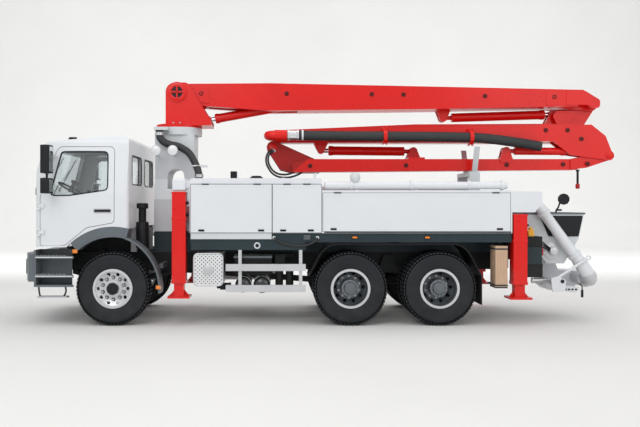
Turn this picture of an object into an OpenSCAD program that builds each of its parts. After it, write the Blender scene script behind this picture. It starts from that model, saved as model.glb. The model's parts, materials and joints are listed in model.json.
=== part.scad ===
// Concrete pump truck with a four-section folding boom, parked as on the road.
// Millimetres. +X points to the rear, +Y to the truck's right side, +Z up.
// The origin is on the ground, at the middle of the length and width.

/* [Vehicle] */
// Distance from the middle of the truck to the bumper's front face
half_length = 4700; // [4650:10:4800]
// Half of the width over the wheels and the pump body
half_width = 1250; // [1240:1:1260]
// Front axle's distance behind the bumper's front face
front_axle_x = 1400; // [1300:5:1500]
// First rear axle's distance behind the bumper's front face
rear_axle_x = 5000; // [4900:5:5100]
// Distance between the two rear axles
bogie_spacing = 1350; // [1330:5:1370]
// Running clearance of pins, shafts and rods in their bores
fit_gap = 0.05; // [0.03:0.01:0.09]
// Clearance between pieces that slide on each other
slide_gap = 0.3; // [0.2:0.05:0.5]
// Clearance between pieces that move past each other
move_gap = 8; // [6:1:10]

/* [Wheels] */
// Tyre's outer radius
tyre_r = 562; // [550:1:570]
// Tyre's width
tyre_w = 300; // [290:1:310]
// Radius of the rim's bead seat
rim_r = 286; // [280:1:292]
// Gap between twin tyres
twin_gap = 40; // [30:1:50]
// Radius of the hub
hub_r = 130; // [120:1:140]
// Radius of the stub axles
stub_r = 60; // [50:1:70]
// Hand holes in a wheel disc
hand_holes = 10; // [8:1:12]
// Distance of the steering pivot inside the wheel's middle plane
pivot_inset = 220; // [210:1:230]

/* [Chassis] */
// Height of the frame rails' underside
rail_z = 790; // [780:1:800]
// Depth of the frame rails
rail_h = 280; // [270:1:290]
// Width of a frame rail's flange
rail_w = 80; // [70:1:90]
// Distance between the rails' outer faces
rail_span = 850; // [840:1:860]
// Plate thickness of the rails
rail_t = 10; // [8:1:14]
// Depth of the sub-frame that carries the pump and the boom
sub_h = 334; // [324:1:344]
// Width of the sub-frame's side skirt
skirt_w = 60; // [50:1:70]

/* [Cab] */
// Height of the cab's roof at the back
cab_roof_z = 2914; // [2890:2:2940]
// Height of the cab floor's underside
cab_floor_z = 1550; // [1545:1:1560]
// Back wall's distance behind the bumper's front face
cab_back_x = 1638; // [1600:1:1680]
// Thickness of the cab's walls and doors
cab_wall = 60; // [55:1:65]
// Thickness of the panes
pane_t = 8; // [6:1:10]
// Radius of the wheel arch in the cab's side
arch_r = 790; // [780:1:800]

/* [Boom] */
// Boom pivot on the turret: behind the bumper's front face, and above the deck
pivot_a = [2250, 2276]; // [1000:1:4000]
// Hinge between the first and second sections: ahead of the rear end, and below the boom pivot
pivot_b = [280, 180]; // [100:1:500]
// Hinge between the second and third sections: behind the bumper's front face, and below the first hinge
pivot_c = [3822, 710]; // [400:1:5000]
// Depth of the hinge between the third and fourth sections, below the second hinge
pivot_d_z = 150; // [120:1:180]
// Length of the fourth section, from its hinge to its end
boom4_len = 5220; // [4800:10:5400]
// Radius of the boom's rearmost hinge
tip_r = 80; // [75:1:85]
// Width of the first section
boom1_w = 440; // [430:1:450]
// Width of the second section
boom2_w = 300; // [295:1:305]
// Width of the third section
boom3_w = 260; // [255:1:265]
// Width of the fourth section
boom4_w = 220; // [215:1:225]
// Middle of the lane in which the second section folds
lane2_y = 110; // [105:1:115]
// Middle of the lane in which the third section folds
lane3_y = -130; // [-135:1:-125]
// Middle of the lane in which the fourth section folds
lane4_y = -210; // [-215:1:-205]
// Thickness of the hinge plates
cheek_t = 35; // [30:1:40]
// Radius of the hinge pins
pin_r = 45; // [40:1:50]
// Radius of the end hose
hose_r = 80; // [75:1:85]

/* [Boom cylinders] */
// Barrel radius
barrel_r = 75; // [70:1:80]
// Barrel radius of the last cylinder
barrel_d_r = 62; // [56:1:66]
// Rod radius
rod_r = 38; // [34:1:40]
// Half width of a rod's eye
eye_half_w = 40; // [35:1:45]
// Radius of the pins at the cylinders' ends
cyl_pin_r = 35; // [30:1:38]
// Lift cylinder's barrel pivot, from the boom pivot: to the rear, and up
barrel_a_at = [1851, -180]; // [-3000:1:3000]
// Lift cylinder's rod pin, from the boom pivot
eye_a_at = [474, -430]; // [-3000:1:3000]
// Second section's cylinder: its barrel pivot, from the first hinge
barrel_b_at = [-2433, -200]; // [-3000:1:3000]
// Second section's cylinder: its rod pin, from the first hinge
eye_b_at = [-590, -140]; // [-3000:1:3000]
// Third section's cylinder: its barrel pivot, from the second hinge
barrel_c_at = [2361, -55]; // [-3000:1:3000]
// Third section's cylinder: its rod pin, from the second hinge
eye_c_at = [803, -40]; // [-3000:1:3000]
// Fourth section's cylinder: its barrel pivot, from the third hinge
barrel_d_at = [-1670, 80]; // [-3000:1:3000]
// Fourth section's cylinder: its rod pin, from the third hinge
eye_d_at = [-554, 73]; // [-3000:1:3000]

/* [Outriggers] */
// Front legs' distance behind the bumper's front face
front_leg_x = 2400; // [2390:1:2410]
// Rear legs' distance behind the bumper's front face
rear_leg_x = 7568; // [7540:1:7600]
// Outer width of a leg's casing
leg_w = 206; // [200:1:212]
// Width of a sliding arm
arm_w = 96; // [90:1:98]
// Height of a sliding arm
arm_h = 240; // [230:1:250]
// Side of the inner leg's tube
inner_leg_w = 150; // [140:1:160]
// Height of the front feet's underside above the ground
front_foot_z = 420; // [400:5:440]
// Height of the rear feet's underside above the ground
rear_foot_z = 402; // [390:2:420]
// Length of a foot plate's side
foot_w = 330; // [310:5:350]

/* [Pump] */
// Height of the front body's top
front_body_z = 2235; // [2200:5:2260]
// Height of the rear body's top
rear_body_z = 2053; // [2030:1:2080]
// Inner face of the side bodies, from the middle of the truck
body_inner_y = 720; // [700:5:740]
// Radius of the concrete delivery pipe
pipe_r = 82; // [75:1:90]
// Height of the hopper's rim
hopper_z = 1690; // [1660:5:1720]
// Thickness of the hopper's walls
hopper_wall = 40; // [30:1:50]

/* [Hidden] */

$fn = 48;
// Faces of a rounded corner that is drawn as an outline
ARC_N = 6;

// Heights that stack up from the ground
axle_z = tyre_r;
rail_top = rail_z + rail_h;
deck_z = rail_top + sub_h;

// Places along the truck, from the bumper's front face
front_x = -half_length;
axle_1_x = front_x + front_axle_x;
axle_2_x = front_x + rear_axle_x;
back_axle_x = axle_2_x + bogie_spacing;
cab_end_x = front_x + cab_back_x;
leg_1_x = front_x + front_leg_x;
leg_2_x = front_x + rear_leg_x;

// Hinges of the boom: place along the truck and height
hinge_a = [front_x + pivot_a[0], deck_z + pivot_a[1]];
hinge_b = [half_length - pivot_b[0], hinge_a[1] - pivot_b[1]];
hinge_c = [front_x + pivot_c[0], hinge_b[1] - pivot_c[1]];
hinge_d = [half_length - tip_r, hinge_c[1] - pivot_d_z];

// Sides
wheel_y = half_width - tyre_w / 2;
twin_y = wheel_y - tyre_w - twin_gap;
kingpin_y = wheel_y - pivot_inset;
rail_y = rail_span / 2;
cab_y = half_width - 10;
skirt_y = half_width - 40;

// Colours
RED = [0.90, 0.13, 0.10];
WHITE = [0.93, 0.93, 0.92];
GREY = [0.55, 0.57, 0.58];
LIGHT_GREY = [0.78, 0.79, 0.80];
BLUE_GREY = [0.30, 0.36, 0.40];
DARK = [0.09, 0.09, 0.10];
STEEL = [0.70, 0.71, 0.72];
RUBBER = [0.05, 0.05, 0.05];
AMBER = [0.95, 0.55, 0.10];
TIMBER = [0.72, 0.52, 0.32];
GLASS = [0.30, 0.38, 0.42, 0.4];

// Points of an arc from angle a0 to a1 about a centre
function arc(c, r, a0, a1, n = ARC_N) =
    [for (i = [0:n]) c + r * [cos(a0 + (a1 - a0) * i / n), sin(a0 + (a1 - a0) * i / n)]];

// Outline of a rectangle with rounded corners, from its two corners
function rounded(lo, hi, r) = concat(
    arc([hi[0] - r, hi[1] - r], r, 0, 90), arc([lo[0] + r, hi[1] - r], r, 90, 180),
    arc([lo[0] + r, lo[1] + r], r, 180, 270), arc([hi[0] - r, lo[1] + r], r, 270, 360));

// Unit normal on the left of the step from p to q
function left_normal(p, q) = [p[1] - q[1], q[0] - p[0]] / norm(q - p);

// Corner q of an outline, moved inwards by d from both of its edges
function moved_corner(p, q, s, d) =
    let (a = left_normal(p, q), b = left_normal(q, s)) q + d * (a + b) / (1 + a * b);

// A whole outline, drawn anticlockwise, moved inwards by d
function inset(o, d) = let (n = len(o))
    [for (i = [0:n - 1]) moved_corner(o[(i + n - 1) % n], o[i], o[(i + 1) % n], d)];

// A block from its ranges along the three axes
module block(x, y, z) {
    translate([x[0], y[0], z[0]])
        cube([x[1] - x[0], y[1] - y[0], z[1] - z[0]]);
}

// An outline in length and height, extruded across the truck
module across(y) {
    translate([0, y[1], 0])
        rotate([90, 0, 0])
            linear_extrude(y[1] - y[0])
                children();
}

// An outline in width and height, extruded along the truck
module lengthwise(x) {
    translate([x[0], 0, 0])
        rotate([90, 0, 90])
            linear_extrude(x[1] - x[0])
                children();
}

// A round bar across the truck at a place p in length and height
module cross_bar(p, r, y) {
    translate([p[0], y[1], p[1]])
        rotate([90, 0, 0])
            cylinder(r = r, h = y[1] - y[0]);
}

// A round bar along the truck at a place p in width and height
module long_bar(p, r, x) {
    translate([x[0], p[0], p[1]])
        rotate([0, 90, 0])
            cylinder(r = r, h = x[1] - x[0]);
}

// A round bar between two points
module rod_between(p, q, r) {
    d = q - p;
    translate(p)
        rotate([0, acos(d[2] / norm(d)), atan2(d[1], d[0])])
            cylinder(r = r, h = norm(d));
}

// The left side's shape, and its mirror image on the right
module both_sides() {
    children();
    mirror([0, 1, 0])
        children();
}

// Places that the running gear and the frame share
frame_x = [front_x + 350, leg_2_x - 168];
cross_x = [frame_x[0] + 60, hinge_a[0] - 150, axle_2_x - 1500, axle_2_x - 550, back_axle_x + 600];
cross_h = 180;
engine_x = [axle_1_x - 850, axle_1_x + 350];
engine_y = rail_y - rail_w - 12;
engine_top = cab_floor_z - 100;
axle_eye_r = 70;
axle_eye_h = 160;
beam_h = 120;
kingpin_r = 30;
spring_w = 70;
spring_t = 70;
spring_y = rail_y - rail_w + 5;
hanger_z = rail_z - 50;
hanger_reach = 780;
bogie_x = axle_2_x + bogie_spacing / 2;
bogie_spring_y = rail_y + 20;
bogie_spring_w = 90;
axle_tube_r = 80;
seat_z = axle_z + axle_tube_r + 18;
bogie_top = rail_z + 70;
drop_z = axle_z - 90;

module chassis_frame() {
    color(DARK) {
        both_sides() {
            lengthwise(frame_x)
                polygon([[-rail_y, rail_z], [-rail_y + rail_w, rail_z],
                    [-rail_y + rail_w, rail_z + rail_t], [-rail_y + rail_t, rail_z + rail_t],
                    [-rail_y + rail_t, rail_top - rail_t], [-rail_y + rail_w, rail_top - rail_t],
                    [-rail_y + rail_w, rail_top], [-rail_y, rail_top]]);
            for (end = [-1, 1])
                translate([axle_1_x + end * hanger_reach, 0, 0])
                    spring_hanger();
            bogie_bracket();
        }
        for (x = cross_x)
            block([x, x + 90], [-rail_y + rail_t, rail_y - rail_t],
                [rail_top - rail_t - cross_h, rail_top - rail_t]);
        tow_beam();
    }
}

// Bracket under a rail that takes one end of a front spring
module spring_hanger() {
    block([-45, 45], [-spring_y - spring_w, -spring_y], [hanger_z, rail_z]);
}

// Bracket on a rail's outside that rests on the bogie's spring
module bogie_bracket() {
    across([-bogie_spring_y - bogie_spring_w, -rail_y])
        polygon([[bogie_x - 130, bogie_top], [bogie_x + 130, bogie_top],
            [bogie_x + 80, rail_top - 40], [bogie_x - 80, rail_top - 40]]);
}

// Front cross beam with the bore of the tow pin, open to the front
tow_r = 25;
tow_len = 120;
module tow_beam() {
    x = frame_x[0];
    difference() {
        block([x - 140, x], [-rail_y, rail_y], [rail_z + 30, rail_top - 30]);
        long_bar([0, (rail_z + rail_top) / 2], tow_r, [x - 141, x - 140 + tow_len]);
    }
}

module engine_block() {
    color(DARK) {
        block(engine_x, [-engine_y, engine_y], [rail_z - 60, engine_top]);
        block([engine_x[0] + 450, engine_x[0] + 550], [-rail_y, rail_y], [rail_top, rail_top + 40]);
    }
}

module axles() {
    color(DARK) {
        front_axle();
        for (x = [axle_2_x, back_axle_x])
            rear_axle(x);
        both_sides() {
            front_spring();
            bogie_spring();
        }
        rod_between([engine_x[1] + 15, 0, rail_z], [axle_2_x - 200, 0, axle_z], 50);
        rod_between([axle_2_x + 200, 0, axle_z], [back_axle_x - 200, 0, axle_z], 50);
    }
}

// Dropped beam with an upright eye at each end
module front_axle() {
    beam_y = kingpin_y - 60;
    difference() {
        union() {
            lengthwise([axle_1_x - 55, axle_1_x + 55])
                polygon([[-beam_y, axle_z - beam_h / 2], [-beam_y + 120, axle_z - beam_h / 2],
                    [-spring_y - 120, drop_z - beam_h / 2], [spring_y + 120, drop_z - beam_h / 2],
                    [beam_y - 120, axle_z - beam_h / 2], [beam_y, axle_z - beam_h / 2],
                    [beam_y, axle_z + beam_h / 2], [beam_y - 120, axle_z + beam_h / 2],
                    [spring_y + 120, drop_z + beam_h / 2], [-spring_y - 120, drop_z + beam_h / 2],
                    [-beam_y + 120, axle_z + beam_h / 2], [-beam_y, axle_z + beam_h / 2]]);
            both_sides()
                translate([axle_1_x, -kingpin_y, axle_z - axle_eye_h / 2])
                    cylinder(r = axle_eye_r, h = axle_eye_h);
        }
        both_sides()
            translate([axle_1_x, -kingpin_y, axle_z - axle_eye_h])
                cylinder(r = kingpin_r + fit_gap, h = 2 * axle_eye_h);
    }
}

// Bowed leaf spring between the front axle and its hangers
module front_spring() {
    x = axle_1_x;
    seat = drop_z + beam_h / 2;
    across([-spring_y - spring_w, -spring_y])
        polygon([[x - 90, seat], [x + 90, seat], [x + hanger_reach + 45, hanger_z - 24],
            [x + hanger_reach + 45, hanger_z], [x + hanger_reach - 45, hanger_z],
            [x + 90, seat + spring_t], [x - 90, seat + spring_t],
            [x - hanger_reach + 45, hanger_z], [x - hanger_reach - 45, hanger_z],
            [x - hanger_reach - 45, hanger_z - 24]]);
}

// Driven axle: tube, round gear housing, spring seats and the shafts that carry the wheels
module rear_axle(x) {
    p = [x, axle_z];
    cross_bar(p, axle_tube_r, [-twin_y + 165, twin_y - 165]);
    cross_bar(p, stub_r, [-twin_shaft_y, twin_shaft_y]);
    translate([x, 0, axle_z])
        sphere(r = 215);
    both_sides()
        block([x - 60, x + 60], [-bogie_spring_y - bogie_spring_w, -bogie_spring_y],
            [axle_z, seat_z]);
}

// Leaf spring that joins the two rear axles over the bogie's middle
module bogie_spring() {
    across([-bogie_spring_y - bogie_spring_w, -bogie_spring_y])
        polygon([[axle_2_x - 80, seat_z], [axle_2_x + 80, seat_z],
            [bogie_x, bogie_top - 110], [back_axle_x - 80, seat_z], [back_axle_x + 80, seat_z],
            [back_axle_x + 80, seat_z + 30], [bogie_x + 120, bogie_top],
            [bogie_x - 120, bogie_top], [axle_2_x - 80, seat_z + 30]]);
}

// Steering knuckle: kingpin with its yoke, and the stub that carries the wheel
yoke_t = 32;
yoke_gap = 6;
module knuckle() {
    yoke_z = axle_eye_h / 2 + yoke_gap;
    web_y = kingpin_y + axle_eye_r + 12;
    color(DARK)
        translate([axle_1_x, 0, axle_z]) {
            translate([0, -kingpin_y, -yoke_z - yoke_t])
                cylinder(r = kingpin_r, h = 2 * (yoke_z + yoke_t));
            for (z = [-yoke_z - yoke_t, yoke_z]) {
                translate([0, -kingpin_y, z])
                    cylinder(r = axle_eye_r - 10, h = yoke_t);
                block([-45, 45], [-web_y - 20, -kingpin_y], [z, z + yoke_t]);
            }
            block([-70, 70], [-web_y - 40, -web_y], [-yoke_z - yoke_t, yoke_z + yoke_t]);
            cross_bar([0, 0], stub_r, [-front_shaft_y, -web_y - 20]);
        }
}

module knuckle_left() {
    knuckle();
}

module knuckle_right() {
    mirror([0, 1, 0])
        knuckle();
}

// Wheels, drawn about their own axis with the outer side up
front_shaft_y = wheel_y + 90;
twin_mid = (tyre_w + twin_gap) / 2;
twin_shaft_y = wheel_y - twin_mid + 190;
bead_w = tyre_w - 80;
barrel_w = tyre_w - 20;
flange_r = rim_r + 14;
rim_inner_r = rim_r - 24;
disc_t = 16;

module tyre_ring() {
    half = tyre_w / 2;
    rotate_extrude()
        polygon([[rim_r, -bead_w / 2], [rim_r + 44, -half + 6], [rim_r + 130, -half],
            [tyre_r - 30, -half + 10], [tyre_r, -half + 34], [tyre_r, half - 34],
            [tyre_r - 30, half - 10], [rim_r + 130, half], [rim_r + 44, half - 6],
            [rim_r, bead_w / 2]]);
}

// Rim barrel with its two flanges
module rim_barrel() {
    half = barrel_w / 2;
    seat = rim_r - slide_gap;
    rotate_extrude()
        polygon([[rim_inner_r, -half], [flange_r, -half], [flange_r, -half + 12],
            [seat, -half + 12], [seat, half - 12], [flange_r, half - 12], [flange_r, half],
            [rim_inner_r, half]]);
}

// Dished wheel disc with a ring of hand holes
module wheel_disc(hub_z, rim_z) {
    difference() {
        rotate_extrude()
            polygon([[hub_r - 10, hub_z], [hub_r + 55, hub_z], [rim_inner_r + 5, rim_z],
                [rim_inner_r + 5, rim_z + disc_t], [hub_r + 55, hub_z + disc_t],
                [hub_r - 10, hub_z + disc_t]]);
        for (i = [0:hand_holes - 1])
            rotate([0, 0, 360 * i / hand_holes])
                translate([hub_r + 92, 0, (hub_z + rim_z) / 2 - 100])
                    cylinder(r = 27, h = 200);
    }
}

// Hub with the bore that runs on the stub axle
module wheel_hub(z, shaft_end) {
    difference() {
        union() {
            translate([0, 0, z[0]])
                cylinder(r = hub_r, h = z[1] - z[0] - 40);
            translate([0, 0, z[1] - 41])
                cylinder(r = hub_r - 35, h = 41);
        }
        translate([0, 0, z[0] - 1])
            cylinder(r = stub_r + fit_gap, h = shaft_end + move_gap - z[0] + 1);
    }
}

// Puts a wheel on the left or right side with its outer side outwards
module on_side(x, y, side) {
    translate([x, side * y, axle_z])
        rotate([-side * 90, 0, 0])
            children();
}

module front_tyre(side) {
    color(RUBBER)
        on_side(axle_1_x, wheel_y, side)
            tyre_ring();
}

module twin_tyres(x, side) {
    color(RUBBER)
        on_side(x, wheel_y - twin_mid, side)
            for (z = [-twin_mid, twin_mid])
                translate([0, 0, z])
                    tyre_ring();
}

module front_rim(side) {
    color(STEEL)
        on_side(axle_1_x, wheel_y, side) {
            rim_barrel();
            wheel_disc(58, 96);
            wheel_hub([-80, 140], front_shaft_y - wheel_y);
        }
}

module twin_rim(x, side) {
    color(STEEL)
        on_side(x, wheel_y - twin_mid, side) {
            for (z = [-twin_mid, twin_mid])
                translate([0, 0, z])
                    rim_barrel();
            wheel_disc(0, 60);
            mirror([0, 0, 1])
                wheel_disc(0, 60);
            wheel_hub([-60, 265], twin_shaft_y - wheel_y + twin_mid);
        }
}

// A corner q between p and s, rounded with radius r
function fillet(p, q, s, r) = let (
    u = (p - q) / norm(p - q), v = (s - q) / norm(s - q), half = acos(u * v) / 2,
    c = q + (u + v) / norm(u + v) * r / sin(half),
    a = q + u * r / tan(half) - c, b = q + v * r / tan(half) - c,
    start = atan2(a[1], a[0]), turn = (atan2(b[1], b[0]) - start + 540) % 360 - 180)
    arc(c, r, start, start + turn);

// An outline whose corners are rounded, each with its own radius
function smooth(o, radii) = let (n = len(o)) [for (i = [0:n - 1])
    each (radii[i] == 0 ? [o[i]] : fillet(o[(i + n - 1) % n], o[i], o[(i + 1) % n], radii[i]))];

// Cab outlines: from the side, from above and from the front
cab_front_x = front_x + 100;
cab_bottom_z = 1190;
screen_foot = [cab_front_x + 30, 1950];
screen_head = [cab_front_x + 270, cab_roof_z - 121];
corner_x = front_x + 250;
brow_y = cab_y - 440;
waist_z = 2000;
roof_y = cab_y - 70;
cut_r = arch_r + 150;
guard_r = cut_r - slide_gap;

function cab_side(b) = smooth([[cab_end_x, b], [cab_end_x, cab_roof_z], screen_head, screen_foot,
    [cab_front_x, b]], [0, 100, 120, 0, 0]);
function cab_plan() = smooth([[cab_end_x, -cab_y], [cab_end_x, cab_y], [corner_x, cab_y],
    [cab_front_x, brow_y], [cab_front_x, -brow_y], [corner_x, -cab_y]], [70, 70, 80, 300, 300, 80]);
function cab_face(b) = smooth([[-cab_y, b], [cab_y, b], [cab_y, waist_z], [roof_y, cab_roof_z],
    [-roof_y, cab_roof_z], [-cab_y, waist_z]], [0, 0, 0, 150, 150, 0]);

// The cab's form, moved inwards by d, down to a height b
module cab_form(d, b) {
    intersection() {
        across([-half_width, half_width])
            polygon(inset(cab_side(b), d));
        translate([0, 0, b])
            linear_extrude(cab_roof_z)
                polygon(inset(cab_plan(), d));
        lengthwise([front_x, cab_end_x + 10])
            polygon(inset(cab_face(b), d));
    }
}

// The layer of the cab's form between two depths
module cab_layer(d0, d1) {
    difference() {
        cab_form(d0, cab_bottom_z - d0);
        cab_form(d1, cab_bottom_z - 2 * d1);
    }
}

door_front_x = front_x + 300;
door_back_x = cab_end_x - 211;
function door_outline() = smooth([[door_back_x, cab_floor_z + 10], [door_back_x, cab_roof_z - 194],
    [door_front_x + 262, cab_roof_z - 194], [door_front_x, screen_foot[1]],
    [door_front_x, cab_bottom_z + 25], [door_front_x + 380, cab_bottom_z + 25],
    [door_front_x + 700, cab_floor_z - 70]], [60, 80, 120, 200, 20, 60, 150]);
function door_window() = smooth([[door_back_x - 106, 2060], [door_back_x - 106, 2640],
    [door_front_x + 320, 2640], [door_front_x + 150, 1975], [door_front_x + 450, 1975]],
    [70, 70, 60, 60, 200]);
function front_window() = smooth([[-1040, 1995], [1040, 1995], [1010, 2690], [-1010, 2690]],
    [70, 70, 70, 70]);
function back_window(y) = rounded([y - 400, 2150], [y + 400, 2600], 60);
back_window_y = 550;

module cab_shell() {
    color(WHITE) {
        difference() {
            union() {
                cab_layer(0, cab_wall);
                intersection() {
                    cab_form(cab_wall / 2, cab_bottom_z);
                    block([cab_front_x, cab_end_x], [-cab_y, cab_y],
                        [cab_floor_z, cab_floor_z + cab_wall]);
                }
            }
            cross_bar([axle_1_x, axle_z], cut_r, [-half_width, half_width]);
            both_sides()
                across([-half_width, -roof_y + cab_wall + 25])
                    polygon(door_outline());
            lengthwise([cab_front_x - 50, screen_head[0] + 100])
                polygon(front_window());
            for (y = [-back_window_y, back_window_y])
                lengthwise([cab_end_x - 100, cab_end_x + 100])
                    polygon(back_window(y));
            grille_slots();
        }
        both_sides() {
            cab_legs();
            hinge_lugs();
        }
    }
}

// Slots of the front panel
module grille_slots() {
    for (i = [0:4])
        block([cab_front_x - 50, cab_front_x + 22], [-820, 820], [1270 + i * 90, 1310 + i * 90]);
}

// Legs that carry the cab on the frame rails
module cab_legs() {
    for (x = [frame_x[0] + 40, cab_end_x - 120])
        block([x, x + 90], [-rail_y, -rail_y + rail_w], [rail_top, cab_floor_z]);
}

// Door hinges: lugs and pins on the cab, and the knuckles on the door that turn on them
hinge_r = 8;
hinge_y = cab_y + 18;
hinge_z = [1420, 1820];
knuckle_h = 60;
lug_r = hinge_r + 4;
module hinge_lugs() {
    for (z = hinge_z) {
        translate([door_front_x, -hinge_y, z - knuckle_h])
            cylinder(r = hinge_r, h = 2 * knuckle_h);
        for (s = [-1, 1])
            translate([door_front_x, -hinge_y, z + s * (knuckle_h / 2 + 17)]) {
                block([-45, hinge_r + 1], [-lug_r, lug_r], [-14, 14]);
                block([-45, -lug_r], [-lug_r, hinge_y - cab_y + 22], [-14, 14]);
            }
    }
}

module hinge_knuckles() {
    for (z = hinge_z)
        difference() {
            union() {
                translate([door_front_x, -hinge_y, z - knuckle_h / 2])
                    cylinder(r = hinge_r + 7, h = knuckle_h);
                block([door_front_x, door_front_x + 70], [-hinge_y - 10, -cab_y + 10],
                    [z - knuckle_h / 2, z + knuckle_h / 2]);
            }
            translate([door_front_x, -hinge_y, z - knuckle_h])
                cylinder(r = hinge_r + fit_gap, h = 2 * knuckle_h);
        }
}

module cab_glass() {
    color(GLASS)
        intersection() {
            cab_layer(cab_wall / 2 - pane_t / 2, cab_wall / 2 + pane_t / 2);
            union() {
                lengthwise([cab_front_x - 50, screen_head[0] + 100])
                    polygon(inset(front_window(), slide_gap));
                for (y = [-back_window_y, back_window_y])
                    lengthwise([cab_end_x - 100, cab_end_x + 100])
                        polygon(inset(back_window(y), slide_gap));
            }
        }
}

// Left door with its window opening, handle, hinges and mirrors
module door() {
    difference() {
        intersection() {
            cab_layer(0, cab_wall);
            across([-half_width, -cab_y / 2])
                polygon(inset(door_outline(), move_gap));
        }
        across([-half_width, -cab_y / 2])
            polygon(door_window());
    }
    hinge_knuckles();
    block([door_back_x - 300, door_back_x - 60], [-cab_y - 22, -cab_y + 10], [1725, 1760]);
    mirrors();
}

// Two mirror heads on a bar that two arms hold off the door
mirror_x = front_x + 485;
mirror_y = half_width + 250;
module mirrors() {
    for (z = [[2300, 2713], [2004, 2226]])
        block([mirror_x - 67, mirror_x + 67], [-mirror_y - 100, -mirror_y + 90], z);
    translate([mirror_x, -mirror_y, 2100])
        cylinder(r = 16, h = 500);
    rod_between([mirror_x, -mirror_y, 2600], [mirror_x + 73, -cab_y + 75, 2560], 16);
    rod_between([mirror_x, -mirror_y, 2110], [mirror_x - 30, -cab_y + 40, 2090], 16);
}

module door_left() {
    color(WHITE)
        door();
}

module door_right() {
    color(WHITE)
        mirror([0, 1, 0])
            door();
}

module door_pane() {
    color(GLASS)
        intersection() {
            cab_layer(cab_wall / 2 - pane_t / 2, cab_wall / 2 + pane_t / 2);
            across([-half_width, -cab_y / 2])
                polygon(inset(door_window(), slide_gap));
        }
}

module door_glass_left() {
    door_pane();
}

module door_glass_right() {
    mirror([0, 1, 0])
        door_pane();
}

// Seats, dash, engine cover and steering wheel on the cab's floor
wheel_tilt = 60;
module cab_interior() {
    floor_z = cab_floor_z + cab_wall;
    color(DARK) {
        both_sides()
            seat(cab_end_x - 640, -620, floor_z);
        block([cab_front_x + 450, cab_end_x - 200], [-280, 280], [floor_z, floor_z + 180]);
        across([-cab_y + 160, cab_y - 160])
            polygon([[cab_front_x + 200, floor_z], [cab_front_x + 330, floor_z],
                [cab_front_x + 420, floor_z + 330], [cab_front_x + 200, floor_z + 330]]);
        translate([cab_front_x + 400, -620, floor_z + 300])
            rotate([0, 90 - wheel_tilt, 0]) {
                cylinder(r = 28, h = 210);
                translate([0, 0, 200]) {
                    rotate_extrude()
                        translate([210, 0])
                            circle(r = 16);
                    for (a = [0, 90])
                        rotate([0, 0, a])
                            block([-205, 205], [-14, 14], [-8, 8]);
                }
            }
    }
}

// One seat: base, cushion, back and head rest
module seat(x, y, z) {
    block([x + 60, x + 400], [y - 180, y + 180], [z, z + 230]);
    across([y - 240, y + 240])
        polygon(smooth([[x - 40, z + 230], [x + 470, z + 230], [x + 560, z + 950], [x + 440, z + 950],
            [x + 370, z + 380], [x - 40, z + 380]], [50, 60, 40, 40, 40, 60]));
}

// Bumper, steps and front mudguards
bumper_z = [669, 1092];
step_z = [589, 1148];
tread_z = [770, 1057];
step_back_x = axle_1_x - 560;
step_inner_y = half_width - 300;
turn_r = norm([tyre_r, pivot_inset + tyre_w / 2]) + 17;
lamp_y = [620, 940];
lamp_z = [770, 990];
tow_gate = [[-120, 120], [860, 1000]];
bumper_back_x = frame_x[0] - 140;
module front_bumper() {
    color(GREY) {
        difference() {
            translate([0, 0, bumper_z[0]])
                linear_extrude(bumper_z[1] - bumper_z[0])
                    polygon(smooth([[bumper_back_x, -half_width + 5], [bumper_back_x, half_width - 5],
                        [front_x + 130, half_width - 5], [front_x, half_width - 330],
                        [front_x, -half_width + 330], [front_x + 130, -half_width + 5]],
                        [0, 0, 60, 200, 200, 60]));
            both_sides()
                block([front_x - 1, front_x + 30], [-lamp_y[1], -lamp_y[0]], lamp_z);
            block([front_x - 1, bumper_back_x + 1], tow_gate[0], tow_gate[1]);
        }
        both_sides() {
            step_well();
            front_mudguard();
        }
    }
}

// Steps behind the bumper's end, cut round the turning wheel, with a bracket to the frame
module step_well() {
    difference() {
        union() {
            block([bumper_back_x, step_back_x], [-step_inner_y - 20, -step_inner_y], step_z);
            block([bumper_back_x, bumper_back_x + 30], [-half_width + 8, -step_inner_y], step_z);
            for (z = tread_z)
                block([bumper_back_x, step_back_x], [-half_width + 8, -step_inner_y], [z - 40, z]);
            block([bumper_back_x, step_back_x], [-half_width + 8, -step_inner_y],
                [step_z[0], step_z[0] + 30]);
            block([bumper_back_x + 250, bumper_back_x + 340], [-step_inner_y, -rail_y],
                [rail_z + 60, rail_z + 150]);
        }
        translate([axle_1_x, -kingpin_y, 0])
            cylinder(r = turn_r, h = step_z[1] + 10, $fn = 96);
    }
}

// Guard over a front wheel: a band in the cab's arch and a thin arc behind it, on a bracket
band_ends = [75, 133];
arc_ends = [-5, 70];
arc_t = 30;
arc_r = turn_r + 150;
guard_y = [half_width - 320, half_width - 8];
module front_mudguard() {
    c = [axle_1_x, axle_z];
    rear_c = [axle_1_x - 120, axle_z];
    across([-guard_y[1], -guard_y[0]]) {
        polygon(concat(arc(c, guard_r, band_ends[0], band_ends[1], 16),
            arc(c, arch_r, band_ends[1], band_ends[0], 16)));
        polygon(concat(arc(rear_c, arc_r, arc_ends[0], arc_ends[1], 16),
            arc(rear_c, arc_r - arc_t, arc_ends[1], arc_ends[0], 16)));
    }
    block([rear_c[0] + arc_r - 60, rear_c[0] + arc_r - 6], [-guard_y[0] - 5, -rail_y],
        [rail_z + 60, rail_z + 130]);
}

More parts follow.
